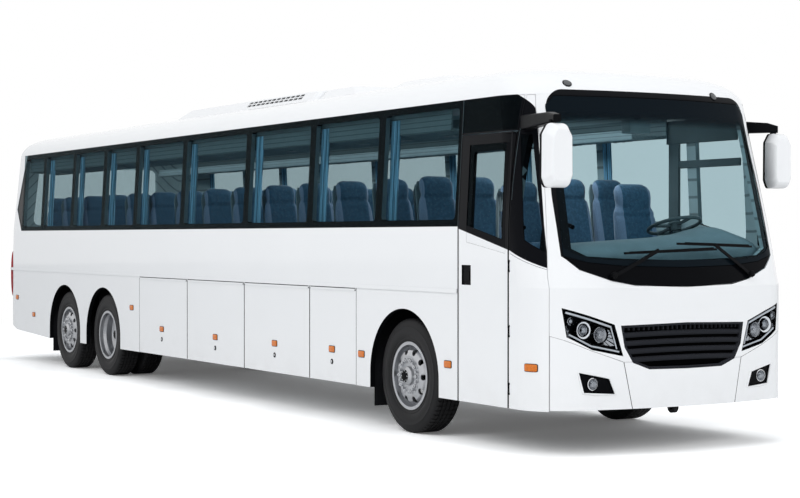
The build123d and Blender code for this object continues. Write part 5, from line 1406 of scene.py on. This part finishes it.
def light(form, y, z, radius, back, projector):
    """One round light: its bowl, a bright ring and either a projector dome or a bulb cap."""
    bowl(form, y, z, radius, back, FINS, 0)
    tip = Vector((nose_x(y, z) - back, y, z))
    form.turned([(radius, -0.003), (radius + 0.0035, -0.003), (radius + 0.0035, 0.004), (radius, 0.005)], tip,
                (1, 0, 0), 48, 0)
    if projector:
        dome = [(0.0, -0.030), (radius * 0.80, -0.030), (radius * 0.80, -0.010)]
        for k in range(1, 7):
            a = math.pi / 2 * k / 6
            dome.append((radius * 0.80 * math.cos(a), -0.010 + radius * 0.42 * math.sin(a)))
        form.turned(dome, tip, (1, 0, 0), 40, 1)
    else:
        cap = radius * 0.20
        form.turned([(0.0, -radius * 0.76), (cap, -radius * 0.76), (cap, -radius * 0.2),
                     (cap * 0.7, -radius * 0.1), (0.0, -radius * 0.07)], tip, (1, 0, 0), 24, 0)


def guide(form, s, a, b, rise, back, radius):
    """Light guide that follows one edge of the headlamp, a little inside it."""
    path = []
    for k in range(GUIDE_STEPS + 1):
        share = k / GUIDE_STEPS
        y, z = between(a[0], b[0], share), between(a[1], b[1], share) + rise
        path.append((nose_x(y, z) - back, s * y, z))
    form.tube(path, radius, 10, 2)


class COACH_OT_lamps(bpy.types.Operator):
    """Fit the optics of the headlamps, fog lamps, tail lamps and roof markers"""

    bl_idname = "coach.lamps"
    bl_label = "Lamps"

    def execute(self, context):
        for side, s in SIDES:
            form = Form()
            for index, (y, z, radius, back) in enumerate(HEAD_LIGHTS):
                light(form, s * y, z, radius, back, index != 1)
            for row in GUIDES:
                guide(form, s, *row)
            halo(form, s, HEAD_LIGHTS[0])
            fan(form, s)
            for y, z in SQUARES:
                square_light(form, s * y, z)
            finishes = ["reflector", "lamp_glass", "strip", "chrome"]
            piece = form.piece("headlamp_optics_" + side, finishes, corner=40.0)
            fog_lamp(side, s)
            tail_lights(side, s)
        roof_markers()
        return {"FINISHED"}


HALO_R = 0.067
FAN = ((0.862, 1.030), (0.722, 1.000), (0.668, 0.862), (0.838, 0.898))     # outline of the finned reflector
FAN_HUB = (0.800, 0.962)
FAN_FLUTES = 22
FLUTE_GAP = 0.12            # share of a flute's pitch that stays open on each side of it
FAN_EYE = (0.064, 0.034)    # radius of the open middle, and its depth behind the skin
FAN_RIM_BACK = 0.019        # depth of its outer edge


def halo(form, s, spot):
    """Bright dished ring round the projector."""
    y, z, radius, _ = spot
    tip = Vector((nose_x(y, z) - 0.020, s * y, z))
    form.turned([(radius + 0.004, -0.010), (HALO_R - 0.006, 0.001), (HALO_R, 0.001), (HALO_R, -0.004),
                 (radius + 0.004, -0.015)], tip, (1, 0, 0), 56, 3)


def fan(form, s):
    """Finned reflector behind the second light: bright flutes that spread from its hub."""
    y0, z0 = FAN_HUB
    for k in range(FAN_FLUTES):
        corners = []
        for edge in (FLUTE_GAP, 1.0 - FLUTE_GAP):
            turn = 2 * math.pi * (k + edge) / FAN_FLUTES
            reach = edge_reach(FAN, y0, z0, math.cos(turn), math.sin(turn))
            for r, back in (FAN_EYE, (max(reach, FAN_EYE[0] + 0.002), FAN_RIM_BACK)):
                y, z = y0 + math.cos(turn) * r, z0 + math.sin(turn) * r
                corners.append((nose_x(y, z) - back, s * y, z))
        inner_a, outer_a, inner_b, outer_b = corners
        form.slab([inner_a, outer_a, outer_b, inner_b], (-0.003, 0, 0), 0)


def square_light(form, y, z):
    """Small square reflector beside the main lights."""
    x = nose_x(y, z) - 0.030
    h = SQUARE_HALF
    outer = [(x, y - h, z - h), (x, y + h, z - h), (x, y + h, z + h), (x, y - h, z + h)]
    inner = [(x - 0.012, between(b, y, 0.5), between(c, z, 0.5)) for _, b, c in outer]
    rim = [(x, between(b, y, -0.18), between(c, z, -0.18)) for _, b, c in outer]
    back = [(x - 0.016, b, c) for _, b, c in rim]
    form.rings([back, rim, outer, inner], 0)


def fog_lamp(side, s):
    """Gloss bezel with a round clear lamp."""
    form = Form()
    y0, z0, radius, back = FOG_LIGHT
    outer, inner = [], []
    for k in range(FOG_STEPS):
        a = 2 * math.pi * k / FOG_STEPS
        dy, dz = math.cos(a), math.sin(a)
        reach = edge_reach(FOG_OUTLINE, y0, z0, dy, dz) - FOG_INSET
        outer.append((y0 + dy * reach, z0 + dz * reach))
        inner.append((y0 + dy * (radius + 0.006), z0 + dz * (radius + 0.006)))
    rings = []
    for ring, depth in ((outer, 0.022), (outer, 0.010), (inner, 0.014), (inner, 0.030)):
        rings.append([(nose_x(y, z) - depth, s * y, z) for y, z in ring])
    form.rings(rings, 3, caps=False)
    light(form, s * y0, z0, radius, back, False)
    tip = Vector((nose_x(y0, z0) - back, s * y0, z0))
    rim = [(radius + 0.001, -0.004), (radius + 0.008, -0.004), (radius + 0.007, 0.004),
           (radius + 0.003, 0.006)]
    form.turned(rim, tip, (1, 0, 0), 48, 2)
    cover = [(0.0, 0.004), (radius * 0.5, 0.0035), (radius, 0.001), (radius, 0.004), (radius * 0.55, 0.0085),
             (0.0, 0.0095)]
    form.turned(cover, tip, (1, 0, 0), 40, 1)
    piece = form.piece("fog_lamp_" + side, ["reflector", "lamp_glass", "chrome", "black_gloss"], corner=40.0)


def edge_reach(outline, y, z, dy, dz):
    """Distance from a point to an outline in one direction of the front view."""
    best = None
    for (ya, za), (yb, zb) in zip(outline, outline[1:] + outline[:1]):
        ey, ez = yb - ya, zb - za
        cross = dy * ez - dz * ey
        if abs(cross) < 1e-9:
            continue
        t = ((ya - y) * ez - (za - z) * ey) / cross
        u = ((ya - y) * dz - (za - z) * dy) / cross
        if t > 0 and -1e-6 <= u <= 1 + 1e-6 and (best is None or t < best):
            best = t
    if best is None:
        raise RuntimeError("the outline does not go round the point")
    return best


TAIL_ROWS = ((1.455, "red"), (1.300, "red"), (1.145, "amber"), (0.975, "clear_lens"))
TAIL_Y = 1.135
TAIL_RIM = ((0.046, 0.0005), (0.055, 0.0005), (0.055, 0.006), (0.046, 0.008))
TAIL_DOME = ((0.0, 0.0005), (0.0455, 0.0005), (0.0455, 0.004), (0.036, 0.008), (0.020, 0.0105), (0.0, 0.0115))
REFLECTOR_YS = (0.62, 0.76)
REAR = -7.00
REAR_BOW = 9.0
REAR_CORNER = 0.25          # plan radius of the rear corners


def rear_x(y):
    """Where the rear skin lies below the window line, away from its corners."""
    return REAR + REAR_BOW - math.sqrt(REAR_BOW ** 2 - y * y)


def tail_lights(side, s):
    """Round tail lights on each lamp column, and the reflector on the bumper."""
    form = Form()
    finishes = ["red", "amber", "clear_lens", "black_satin"]
    for z, colour in TAIL_ROWS:
        y = s * TAIL_Y
        centre = Vector((tail_face(y, z), y, z))
        form.turned(TAIL_RIM, centre, (-1, 0, 0), 40, 3)
        form.turned(TAIL_DOME, centre, (-1, 0, 0), 40, finishes.index(colour))
    for out in REFLECTOR_YS:
        y = s * out
        x = rear_x(y)
        form.block((x - 0.008, y - 0.055, 0.555), (x + 0.004, y + 0.055, 0.595), 0)
    wrap_lens(form, s)
    piece = form.piece("tail_lights_" + side, finishes, soft=0.0012, corner=40.0)


WRAP_Z = (0.870, 1.545)
WRAP_OUT = 0.030            # how far the wrapped lens stands out of the corner
WRAP_STEPS = 24


def corner_point(t, s, z, out):
    """A point round the rear corner: t runs from 0 on the rear face to 1 on the side."""
    a = math.pi / 2 * t
    middle = HALF - REAR_CORNER
    x = rear_x(middle) + REAR_CORNER - math.cos(a) * (REAR_CORNER + out)
    return (x, s * (middle + math.sin(a) * (REAR_CORNER + out)), z)


def wrap_lens(form, s):
    """Tall red lens round the body's rear corner."""
    low, high = WRAP_Z
    rings = []
    for k in range(WRAP_STEPS + 1):
        v = k / WRAP_STEPS
        z = between(low, high, v)
        swell = WRAP_OUT * math.sin(math.pi * v) ** 0.45
        reach = 0.16 * math.sin(math.pi * v) ** 0.5
        ring = []
        for t in [0.40 - reach * 0.6 + (0.2 + reach * 1.9) * i / 12 for i in range(13)]:
            ring.append(corner_point(t, s, z, 0.001 + swell * (1.0 - abs(t - 0.55) ** 2 * 2.0)))
        for t in [0.60 + reach * 1.3, 0.40 - reach * 0.6]:
            ring.append(corner_point(t, s, z, -0.004))
        rings.append(ring)
    form.rings(rings, 0)


def tail_face(y, z):
    """Rear face of the tail lamp column: the corner bends forward and the body leans above the waist."""
    middle = HALF - REAR_CORNER
    x = rear_x(min(abs(y), middle))
    if abs(y) > middle:
        x += REAR_CORNER - math.sqrt(REAR_CORNER ** 2 - (abs(y) - middle) ** 2)
    return x + 0.001 + 0.03 * bounded((z - 1.33) / 0.49, 0.0, 1.0)


ROOF_MARKERS = ((6.060, -0.802), (6.126, 0.671))
ROOF_MARKER_BASE = ((0.0, -0.002), (0.040, -0.002), (0.040, 0.003), (0.034, 0.005), (0.0, 0.005))
ROOF_MARKER_LENS = ((0.0, 0.004), (0.032, 0.004), (0.030, 0.008), (0.018, 0.011), (0.0, 0.012))
OVER_ROOF = 3.3             # height from which the roof is felt for


def roof_markers():
    """Small clearance lamps over the windscreen corners."""
    form = Form()
    for x, y in ROOF_MARKERS:
        hit, normal = struck("roof_shell", (x, y, OVER_ROOF), (0, 0, -1))
        form.turned(ROOF_MARKER_BASE, hit, normal, 32, 1)
        form.turned(ROOF_MARKER_LENS, hit, normal, 28, 0)
    piece = form.piece("roof_markers", ["smoke_lens", "black_satin"], corner=40.0)


def struck(node, start, direction):
    """Where a straight line first meets a packed node, and the surface's normal there."""
    found, place, normal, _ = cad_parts[node].ray_cast(Vector(start), Vector(direction))
    if not found:
        raise RuntimeError("nothing of " + node + " lies there")
    return place, normal


# ---------------------------------------------------------------- mirrors and wipers
# middle of each head and its top
HEADS = {"right": (6.93, -1.52, 2.58), "left": (6.00, 1.52, 2.64)}
HEAD_H = 0.48
GLASS_BACK = 0.044 + 0.0003 + 0.014     # from the head's middle to the bottom of the glass recess
PANES = ((-0.055, 0.150, 0.092), (-0.195, -0.075, 0.088))       # foot and top from the middle, half width
PANE_CROWN = ((1.0, 0.0), (1.0, -0.003), (0.9, -0.005), (0.4, -0.0065), (0.02, -0.007))
PANE_POWER = 0.35           # squareness of a pane's outline
PANE_STEPS = 28
WIPER_PIVOTS = ((-0.690, 1.425), (0.730, 1.421))
WIPER_CAP = ((0.0, -0.001), (0.026, -0.001), (0.026, 0.006), (0.018, 0.016), (0.0, 0.018))
WIPER_BLADES = (((-0.52, 1.640), (0.33, 1.6725)), ((0.03, 1.7145), (0.76, 1.693)))
WIPER_STEPS = 12


class COACH_OT_mirrors(bpy.types.Operator):
    """Fit the mirror glasses, and the caps and rubber of the wipers"""

    bl_idname = "coach.mirrors"
    bl_label = "Mirrors and wipers"

    def execute(self, context):
        form = Form()
        for x, y, top in HEADS.values():
            middle = top - HEAD_H / 2
            for low, high, half in PANES:
                rings = []
                for share, back in PANE_CROWN:
                    ring = []
                    for k in range(PANE_STEPS):
                        a = 2 * math.pi * k / PANE_STEPS
                        u = curved(math.cos(a), PANE_POWER) * half * share
                        v = curved(math.sin(a), PANE_POWER) * (high - low) / 2 * share
                        ring.append((x - GLASS_BACK + back, y + u, middle + (low + high) / 2 + v))
                    rings.append(ring)
                form.rings(rings)
        piece = form.piece("mirror_glasses", ["mirror"])
        form = Form()
        for y, z in WIPER_PIVOTS:
            form.turned(WIPER_CAP, on_nose(y, z, 0.036), (1, 0, 0.25), 28)
        for (ya, za), (yb, zb) in WIPER_BLADES:
            shares = [k / WIPER_STEPS for k in range(WIPER_STEPS + 1)]
            form.tube([on_nose(between(ya, yb, t), between(za, zb, t) - 0.034, 0.026)
                       for t in shares], 0.0045, 8)
        piece = form.piece("wiper_caps", ["black_satin"])
        return {"FINISHED"}


# ---------------------------------------------------------------- entry door and body seals
DOOR_REAR = 5.201
DOOR_FRONT = 5.955
DOOR_TOP = 2.58
DOOR_FOOT = 0.363
SEAL_STEPS = 14
SEAL_SECTION = ((0.0, -0.004), (0.0, 0.0016), (0.5, 0.0026), (1.0, 0.0016), (1.0, -0.004))     # across, out
# low and high (x, y inboard of the skin, z) of the handle's pocket plate and its paddle
HANDLE = (((5.264, 0.010, 1.342), (5.394, 0.016, 1.494)), ((5.284, 0.0035, 1.372), (5.372, 0.011, 1.458)))
HANDLE_LOCK = ((0.0, 0.0), (0.009, 0.0), (0.009, 0.006), (0.007, 0.008), (0.0, 0.008))


class COACH_OT_door_fittings(bpy.types.Operator):
    """Fit the entry door's seal and handle"""

    bl_idname = "coach.door_fittings"
    bl_label = "Door seal and handle"

    def execute(self, context):
        seal = context.scene.coach_sizes.seal
        form = Form()
        corners = ((DOOR_REAR, DOOR_FOOT), (DOOR_REAR, DOOR_TOP), (DOOR_FRONT, DOOR_TOP),
                   (DOOR_FRONT, DOOR_FOOT))
        for (xa, za), (xb, zb) in zip(corners[:-1], corners[1:]):
            rings = []
            for k in range(SEAL_STEPS + 1):
                x, z = between(xa, xb, k / SEAL_STEPS), between(za, zb, k / SEAL_STEPS)
                inward = seal if xa == DOOR_REAR else -seal
                across = Vector((0, 0, -seal)) if za == zb else Vector((inward, 0, 0))
                ring = []
                for u, out in SEAL_SECTION:
                    ring.append(Vector((x, -(side_y(z) + out), z)) + across * u)
                rings.append(ring)
            form.rings(rings)
        piece = form.piece("entry_door_seal", ["rubber"], "entry_door_leaf")
        form = Form()
        for (xa, ya, za), (xb, yb, zb) in HANDLE:
            form.block((xa, ya - HALF, za), (xb, yb - HALF, zb))
        form.turned(HANDLE_LOCK, (5.381, 0.013 - HALF, 1.364), (0, -1, 0), 24)
        piece = form.piece("entry_door_handle", ["black_satin"], "entry_door_leaf", soft=0.0025)
        return {"FINISHED"}


# ---------------------------------------------------------------- bumper mouldings
BEZEL = 0.016               # width of a fog lamp's raised rim
BEZEL_SECTION = ((0.0, -0.004), (0.002, 0.006), (BEZEL * 0.6, 0.009), (BEZEL, 0.006), (BEZEL + 0.004, -0.003))
OUTLINE_STEPS = 6           # points along each side of its outline


class COACH_OT_bumper_trim(bpy.types.Operator):
    """Fit the raised rims round the fog lamps in the front bumper"""

    bl_idname = "coach.bumper_trim"
    bl_label = "Bumper mouldings"

    def execute(self, context):
        form = Form()
        for s in (-1, 1):
            rings = []
            for spread, out in BEZEL_SECTION:
                ring = []
                for y, z in grown(FOG_OUTLINE, spread):
                    point = on_nose(y, z, out)
                    ring.append((point.x, s * point.y, point.z))
                rings.append(ring)
            form.rings(rings, 0, round_on=True)
        piece = form.piece("bumper_mouldings", ["paint"], soft=0.003, corner=40.0)
        return {"FINISHED"}


def grown(outline, by):
    """An outline moved outward, with points along its sides."""
    cy = sum(p[0] for p in outline) / len(outline)
    cz = sum(p[1] for p in outline) / len(outline)
    out = []
    for (ya, za), (yb, zb) in zip(outline, outline[1:] + outline[:1]):
        for k in range(OUTLINE_STEPS):
            y, z = between(ya, yb, k / OUTLINE_STEPS), between(za, zb, k / OUTLINE_STEPS)
            away = Vector((y - cy, z - cz)).normalized() * by
            out.append((y + away.x, z + away.y))
    return out


# ---------------------------------------------------------------- roof
FANS = ((-1.30, 0.36), (-0.55, 0.36), (0.20, 0.36), (0.95, 0.36))
FAN_R = 0.27
GUARD_IN = FAN_R - 0.018    # inner radius of a guard's outer ring
GUARD_RING = ((GUARD_IN, 0.0004), (FAN_R, 0.0004), (FAN_R, 0.006), (GUARD_IN, 0.009))
GUARD_HOOPS = 6             # the ring's radius is shared out over this many hoops
GUARD_SPOKES = 4
UP = (0, 0, 1)


class COACH_OT_roof_fittings(bpy.types.Operator):
    """Fit the fan guards of the air conditioner"""

    bl_idname = "coach.roof_fittings"
    bl_label = "Roof fittings"

    def execute(self, context):
        form = Form()
        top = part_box("roof_units")[1][2]
        for x, y in FANS:
            for s in (-1, 1):
                centre = Vector((x, s * y, top))
                form.turned(GUARD_RING, centre, UP, 48)
                for k in range(1, GUARD_HOOPS):
                    r = GUARD_IN * k / GUARD_HOOPS
                    form.turned([(r, 0.001), (r + 0.004, 0.001), (r + 0.004, 0.005), (r, 0.005)],
                                centre, UP, 36)
                for k in range(GUARD_SPOKES):
                    a = math.pi * k / GUARD_SPOKES
                    reach = Vector((math.cos(a), math.sin(a), 0)) * (FAN_R - 0.01)
                    lift = Vector((0, 0, 0.004))
                    form.tube([centre - reach + lift, centre + reach + lift], 0.0026, 6)
        piece = form.piece("fan_guards", ["black_satin"], corner=40.0)
        return {"FINISHED"}


# ================================================================ cabin
WHEEL_HUB = Vector((5.85, 0.48, 1.83))
WHEEL_LEAN = math.radians(18.0)
DASH_REAR = 6.02
DASH_ENDS = (-1.02, 1.04)
DASH_FOOT = 1.52
DASH_GAP = 0.085            # from the nose's skin back to the dash cover
DASH_STEPS = 44
# the driver's window, on the left wall
# low and high corner of its middle bar, of the pillar behind it and of the panel over it
WINDOW_FRAME = (((4.90, 1.205, 2.36), (5.86, 1.225, 2.43)), ((4.895, 1.195, 1.86), (5.035, 1.225, 2.75)),
                ((4.865, 1.193, 2.585), (5.84, 1.207, 2.80)))
# the small display box ahead of the aisle, and its stay up to the roof
OVERHEAD_BOX = (((5.86, -0.10, 2.60), (5.98, 0.12, 2.715)), ((5.90, -0.02, 2.71), (5.94, 0.04, 3.02)))
ENTRY_RAIL = ((5.02, -0.78, 1.26), (5.02, -0.78, 2.02), (5.10, -0.80, 2.10), (5.20, -0.86, 2.06),
              (5.22, -0.88, 1.95))
STEERING_PAD = ((0.0, 0.0), (0.055, 0.0), (0.060, 0.010), (0.052, 0.026), (0.030, 0.033), (0.0, 0.035))


def dash_height(y):
    """Top of the dash cover, with its hood ahead of the wheel."""
    base = min(1.684 + (y + 0.787) * 0.055, 1.758 - (y - 0.60) * 0.10)
    return base + 0.060 * math.exp(-((y - 0.58) / 0.28) ** 2)


class COACH_OT_cabin(bpy.types.Operator):
    """Fit out the driver's place"""

    bl_idname = "coach.cabin"
    bl_label = "Driver's place"

    def execute(self, context):
        dash_cover()
        form = Form()
        axis = Vector((-math.sin(WHEEL_LEAN), 0, math.cos(WHEEL_LEAN)))
        form.turned(STEERING_PAD, WHEEL_HUB, axis, 36)
        piece = form.piece("steering_pad", ["cab_plastic"])
        form = Form()
        form.tube(along_curve(ENTRY_RAIL, 8), 0.016, 12)
        piece = form.piece("entry_rail", ["bright_steel"])
        window_frame()
        overhead_box()
        return {"FINISHED"}


def dash_cover():
    """Soft moulded top of the dashboard, from its rear roll forward to the windscreen."""
    form = Form()
    rings = []
    for k in range(DASH_STEPS + 1):
        y = between(*DASH_ENDS, k / DASH_STEPS)
        top = dash_height(y)
        edge = min(abs(y - DASH_ENDS[0]), abs(DASH_ENDS[1] - y))
        top -= 0.05 * math.exp(-edge / 0.035)
        front = nose_x(y, top - 0.05) - DASH_GAP
        rings.append([(DASH_REAR, y, DASH_FOOT), (DASH_REAR - 0.01, y, top - 0.07),
                      (DASH_REAR, y, top - 0.03),
                      (DASH_REAR + 0.03, y, top - 0.007), (DASH_REAR + 0.08, y, top),
                      (between(DASH_REAR, front, 0.6), y, top - 0.004), (front - 0.05, y, top - 0.03),
                      (front - 0.015, y, top - 0.06), (front, y, top - 0.10), (front, y, DASH_FOOT)])
    form.rings(rings)
    piece = form.piece("dash_cover", ["dash"], soft=0.006, corner=50.0)


def window_frame():
    """Frame of the driver's sliding window."""
    form = Form()
    for low, high in WINDOW_FRAME:
        form.block(low, high)
    piece = form.piece("driver_window_frame", ["window_frame"], soft=0.006)


def overhead_box():
    """Small display box that hangs from the roof ahead of the aisle."""
    form = Form()
    for low, high in OVERHEAD_BOX:
        form.block(low, high)
    piece = form.piece("overhead_box", ["rack"], soft=0.008)


# ---------------------------------------------------------------- luggage racks
RACK_X = (-6.30, 4.90)
RACK_NEAR = 0.76            # aisle edge
RACK_FAR = 1.18
RACK_FLOOR = 2.64
RACK_TOP = 2.832            # top of the duct
SHELF = 0.022
READING_LIGHTS = 0.78       # spacing of the lights under the shelf
READING_FIRST = 0.40        # from the racks' front end to the first light
READING_Y = 0.93
READING_BOX = (0.13, 0.05)  # half its length and half its width
READING_LENS = ((0.0, 0.0), (0.022, 0.0), (0.020, 0.005), (0.0, 0.007))


class COACH_OT_racks(bpy.types.Operator):
    """Build the luggage racks: a grooved shelf with a rolled lip, its duct and the lights under it"""

    bl_idname = "coach.racks"
    bl_label = "Luggage racks"

    def execute(self, context):
        form = Form()
        near, far, z = RACK_NEAR, RACK_FAR, RACK_FLOOR
        outline = [(far, z), (near + 0.075, z - 0.022), (near + 0.028, z - 0.030), (near + 0.006, z - 0.018),
                   (near, z + 0.004), (near + 0.012, z + 0.062), (near + 0.026, z + 0.074),
                   (near + 0.040, z + 0.062), (near + 0.040, z + SHELF), (far - 0.020, z + SHELF),
                   (far - 0.020, RACK_TOP), (far - 0.008, RACK_TOP)]
        for s in (-1, 1):
            form.slab([(RACK_X[0], s * y, h) for y, h in outline], (RACK_X[1] - RACK_X[0], 0, 0))
        piece = form.piece("parcel_racks", ["rack_shelf"], soft=0.002, corner=50.0)
        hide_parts("luggage_racks")
        form = Form()
        count = int((RACK_X[1] - RACK_X[0]) / READING_LIGHTS)
        along, across = READING_BOX
        for s in (-1, 1):
            for k in range(count):
                x = RACK_X[1] - READING_FIRST - READING_LIGHTS * k
                y = s * READING_Y
                form.block((x - along, y - across, z - 0.020), (x + along, y + across, z - 0.005))
                for side in (-1, 1):
                    centre = Vector((x + side * 0.06, y, z - 0.020))
                    form.turned(READING_LENS, centre, (0, 0, -1), 24, 1)
        piece = form.piece("reading_lights", ["rack", "clear_lens"], soft=0.003)
        return {"FINISHED"}


# ================================================================ stage
FLOOR_HALF = 90.0
FLOOR_FADE = (11.0, 17.0)    # the floor turns plain white between these distances from the coach
CABIN_LAMP = (12.4, 1.0)    # length and width of the light over the aisle
CABIN_LAMP_AT = (-0.6, 0.0, 2.93)
FLOOR_MATT = ((0.86, 0.86, 0.86), (0.88, 0.88, 0.88))      # the floor as the coach's light and mirrors see it
WHITE = (1.0, 1.0, 1.0, 1.0)
ROOM_TINT = (0.94, 0.97, 1.0, 1.0)
FLOOR_SEEN = (1.75, 1.75, 1.74)     # the floor as the camera sees it, so that it meets the white behind
# lamp: its property, its place, the point it looks at, its width in metres
LAMPS = (("key", (8.0, -15.0, 13.0), (0.0, 0.0, 1.2), 12.0),
         ("front", (20.0, 4.0, 9.0), (5.0, 0.0, 1.5), 8.0),
         ("top", (-2.0, 2.0, 16.0), (-1.0, 0.0, 0.0), 16.0))


class COACH_OT_stage(bpy.types.Operator):
    """Set the camera, the floor and the light"""

    bl_idname = "coach.stage"
    bl_label = "Stage"

    def execute(self, context):
        scene = context.scene
        studio = scene.coach_studio
        scene.view_settings.view_transform = "Standard"
        turn, dip = studio.turn, studio.dip
        forward = Vector((-math.cos(turn) * math.cos(dip), math.sin(turn) * math.cos(dip), -math.sin(dip)))
        camera = bpy.data.cameras.new("camera")
        camera.lens = studio.lens
        camera.sensor_width = 36.0
        camera.clip_end = 200.0
        scene.camera = put(scene, "camera", camera, studio.camera, forward)
        for name, at, aim, size in LAMPS:
            lamp = bpy.data.lights.new(name, "AREA")
            lamp.size = size
            lamp.energy = getattr(studio, name)
            put(scene, name + "_light", lamp, at, Vector(aim) - Vector(at)).visible_glossy = False
        ceiling = bpy.data.lights.new("cabin", "AREA")
        ceiling.shape = "RECTANGLE"
        ceiling.size, ceiling.size_y = CABIN_LAMP
        ceiling.energy = studio.cabin
        put(scene, "cabin_light", ceiling, CABIN_LAMP_AT, Vector((0, 0, -1))).visible_glossy = False
        studio_floor(scene, studio)
        studio_world(scene, studio)
        return {"FINISHED"}


def put(scene, name, data, at, looking):
    """A camera or lamp in its place."""
    obj = bpy.data.objects.new(name, data)
    obj.location = at
    obj.rotation_mode = "QUATERNION"
    obj.rotation_quaternion = looking.to_track_quat("-Z", "Y")
    scene.collection.objects.link(obj)
    return obj


def studio_floor(scene, studio):
    """A pale floor that looks white to the camera and still takes the coach's shadow."""
    h = FLOOR_HALF
    mesh = bpy.data.meshes.new("floor")
    mesh.from_pydata([(-h, -h, 0), (h, -h, 0), (h, h, 0), (-h, h, 0)], [], [(0, 1, 2, 3)])
    floor = bpy.data.objects.new("floor", mesh)
    scene.collection.objects.link(floor)
    s = Shader("studio_floor")
    spots = s.noise(0.7, 2.0)
    matt = s.node("ShaderNodeBsdfDiffuse", {}, {"Color": s.mix(spots, *FLOOR_MATT)})
    seen = s.node("ShaderNodeBsdfDiffuse", {}, {"Color": s.mix(spots, FLOOR_SEEN, scaled(FLOOR_SEEN, 1.004))})
    glow = s.node("ShaderNodeEmission", {}, {"Color": WHITE, "Strength": studio.floor_glow})
    path = s.node("ShaderNodeLightPath", output="Is Camera Ray")
    both = s.node("ShaderNodeAddShader", {}, {0: seen, 1: glow})
    white = s.node("ShaderNodeEmission", {}, {"Color": WHITE, "Strength": 1.0})
    x, y, _ = s.split(s.place())
    far = s.fade((x * x + y * y) ** 0.5, *FLOOR_FADE)
    whole = s.node("ShaderNodeMixShader", {}, {0: far, 1: both, 2: white})
    mesh.materials.append(s.blend(path, matt, whole))


def studio_world(scene, studio):
    """Soft light from all round, shown as plain white behind the coach and in its reflections."""
    world = bpy.data.worlds.new("studio")
    world.use_nodes = True
    scene.world = world
    tree = world.node_tree
    tree.nodes.clear()
    path = tree.nodes.new("ShaderNodeLightPath")
    seen = path.outputs["Is Camera Ray"]
    for ray in ("Is Glossy Ray", "Is Transmission Ray"):
        either = tree.nodes.new("ShaderNodeMath")
        either.operation = "MAXIMUM"
        tree.links.new(seen, either.inputs[0])
        tree.links.new(path.outputs[ray], either.inputs[1])
        seen = either.outputs[0]
    both = tree.nodes.new("ShaderNodeMixShader")
    tree.links.new(seen, both.inputs[0])
    for slot, colour, strength in ((1, ROOM_TINT, studio.room), (2, WHITE, 1.0)):
        back = tree.nodes.new("ShaderNodeBackground")
        back.inputs["Color"].default_value = colour
        back.inputs["Strength"].default_value = strength
        tree.links.new(back.outputs[0], both.inputs[slot])
    out = tree.nodes.new("ShaderNodeOutputWorld")
    tree.links.new(both.outputs[0], out.inputs["Surface"])


# ================================================================ panel and registration
ORDER = ("finishes", "nodes", "tyres", "wheel_fittings", "seats", "seat_trim", "curtains", "cabin", "racks",
         "side_markers", "lamps", "mirrors", "bumper_trim", "door_fittings", "roof_fittings", "stage")
SETTINGS = (("coach_colours", CoachColours), ("coach_sizes", CoachSizes), ("coach_studio", CoachStudio))


class COACH_PT_panel(bpy.types.Panel):
    """Every step of the coach's build"""

    bl_idname = "COACH_PT_panel"
    bl_label = "Coach bus"
    bl_space_type = "VIEW_3D"
    bl_region_type = "UI"
    bl_category = "Coach"

    def draw(self, context):
        for step in ORDER:
            self.layout.operator("coach." + step)
        for name, group in SETTINGS:
            box = self.layout.box()
            box.label(text=group.__doc__)
            for prop in group.__annotations__:
                box.prop(getattr(context.scene, name), prop)


CLASSES = (CoachColours, CoachSizes, CoachStudio, COACH_OT_finishes, COACH_OT_nodes, COACH_OT_tyres,
           COACH_OT_wheel_fittings, COACH_OT_seats, COACH_OT_seat_trim, COACH_OT_curtains, COACH_OT_cabin,
           COACH_OT_racks, COACH_OT_side_markers, COACH_OT_lamps, COACH_OT_mirrors, COACH_OT_bumper_trim,
           COACH_OT_door_fittings, COACH_OT_roof_fittings, COACH_OT_stage, COACH_PT_panel)


def register():
    for kind in CLASSES:
        bpy.utils.register_class(kind)
    for name, group in SETTINGS:
        setattr(bpy.types.Scene, name, PointerProperty(type=group))


def unregister():
    for name, _ in SETTINGS:
        delattr(bpy.types.Scene, name)
    for kind in reversed(CLASSES):
        bpy.utils.unregister_class(kind)


def main():
    register()
    for step in ORDER:
        if getattr(bpy.ops.coach, step)() != {"FINISHED"}:
            raise RuntimeError("the step " + step + " did not finish")


if __name__ == "__main__":
    main()
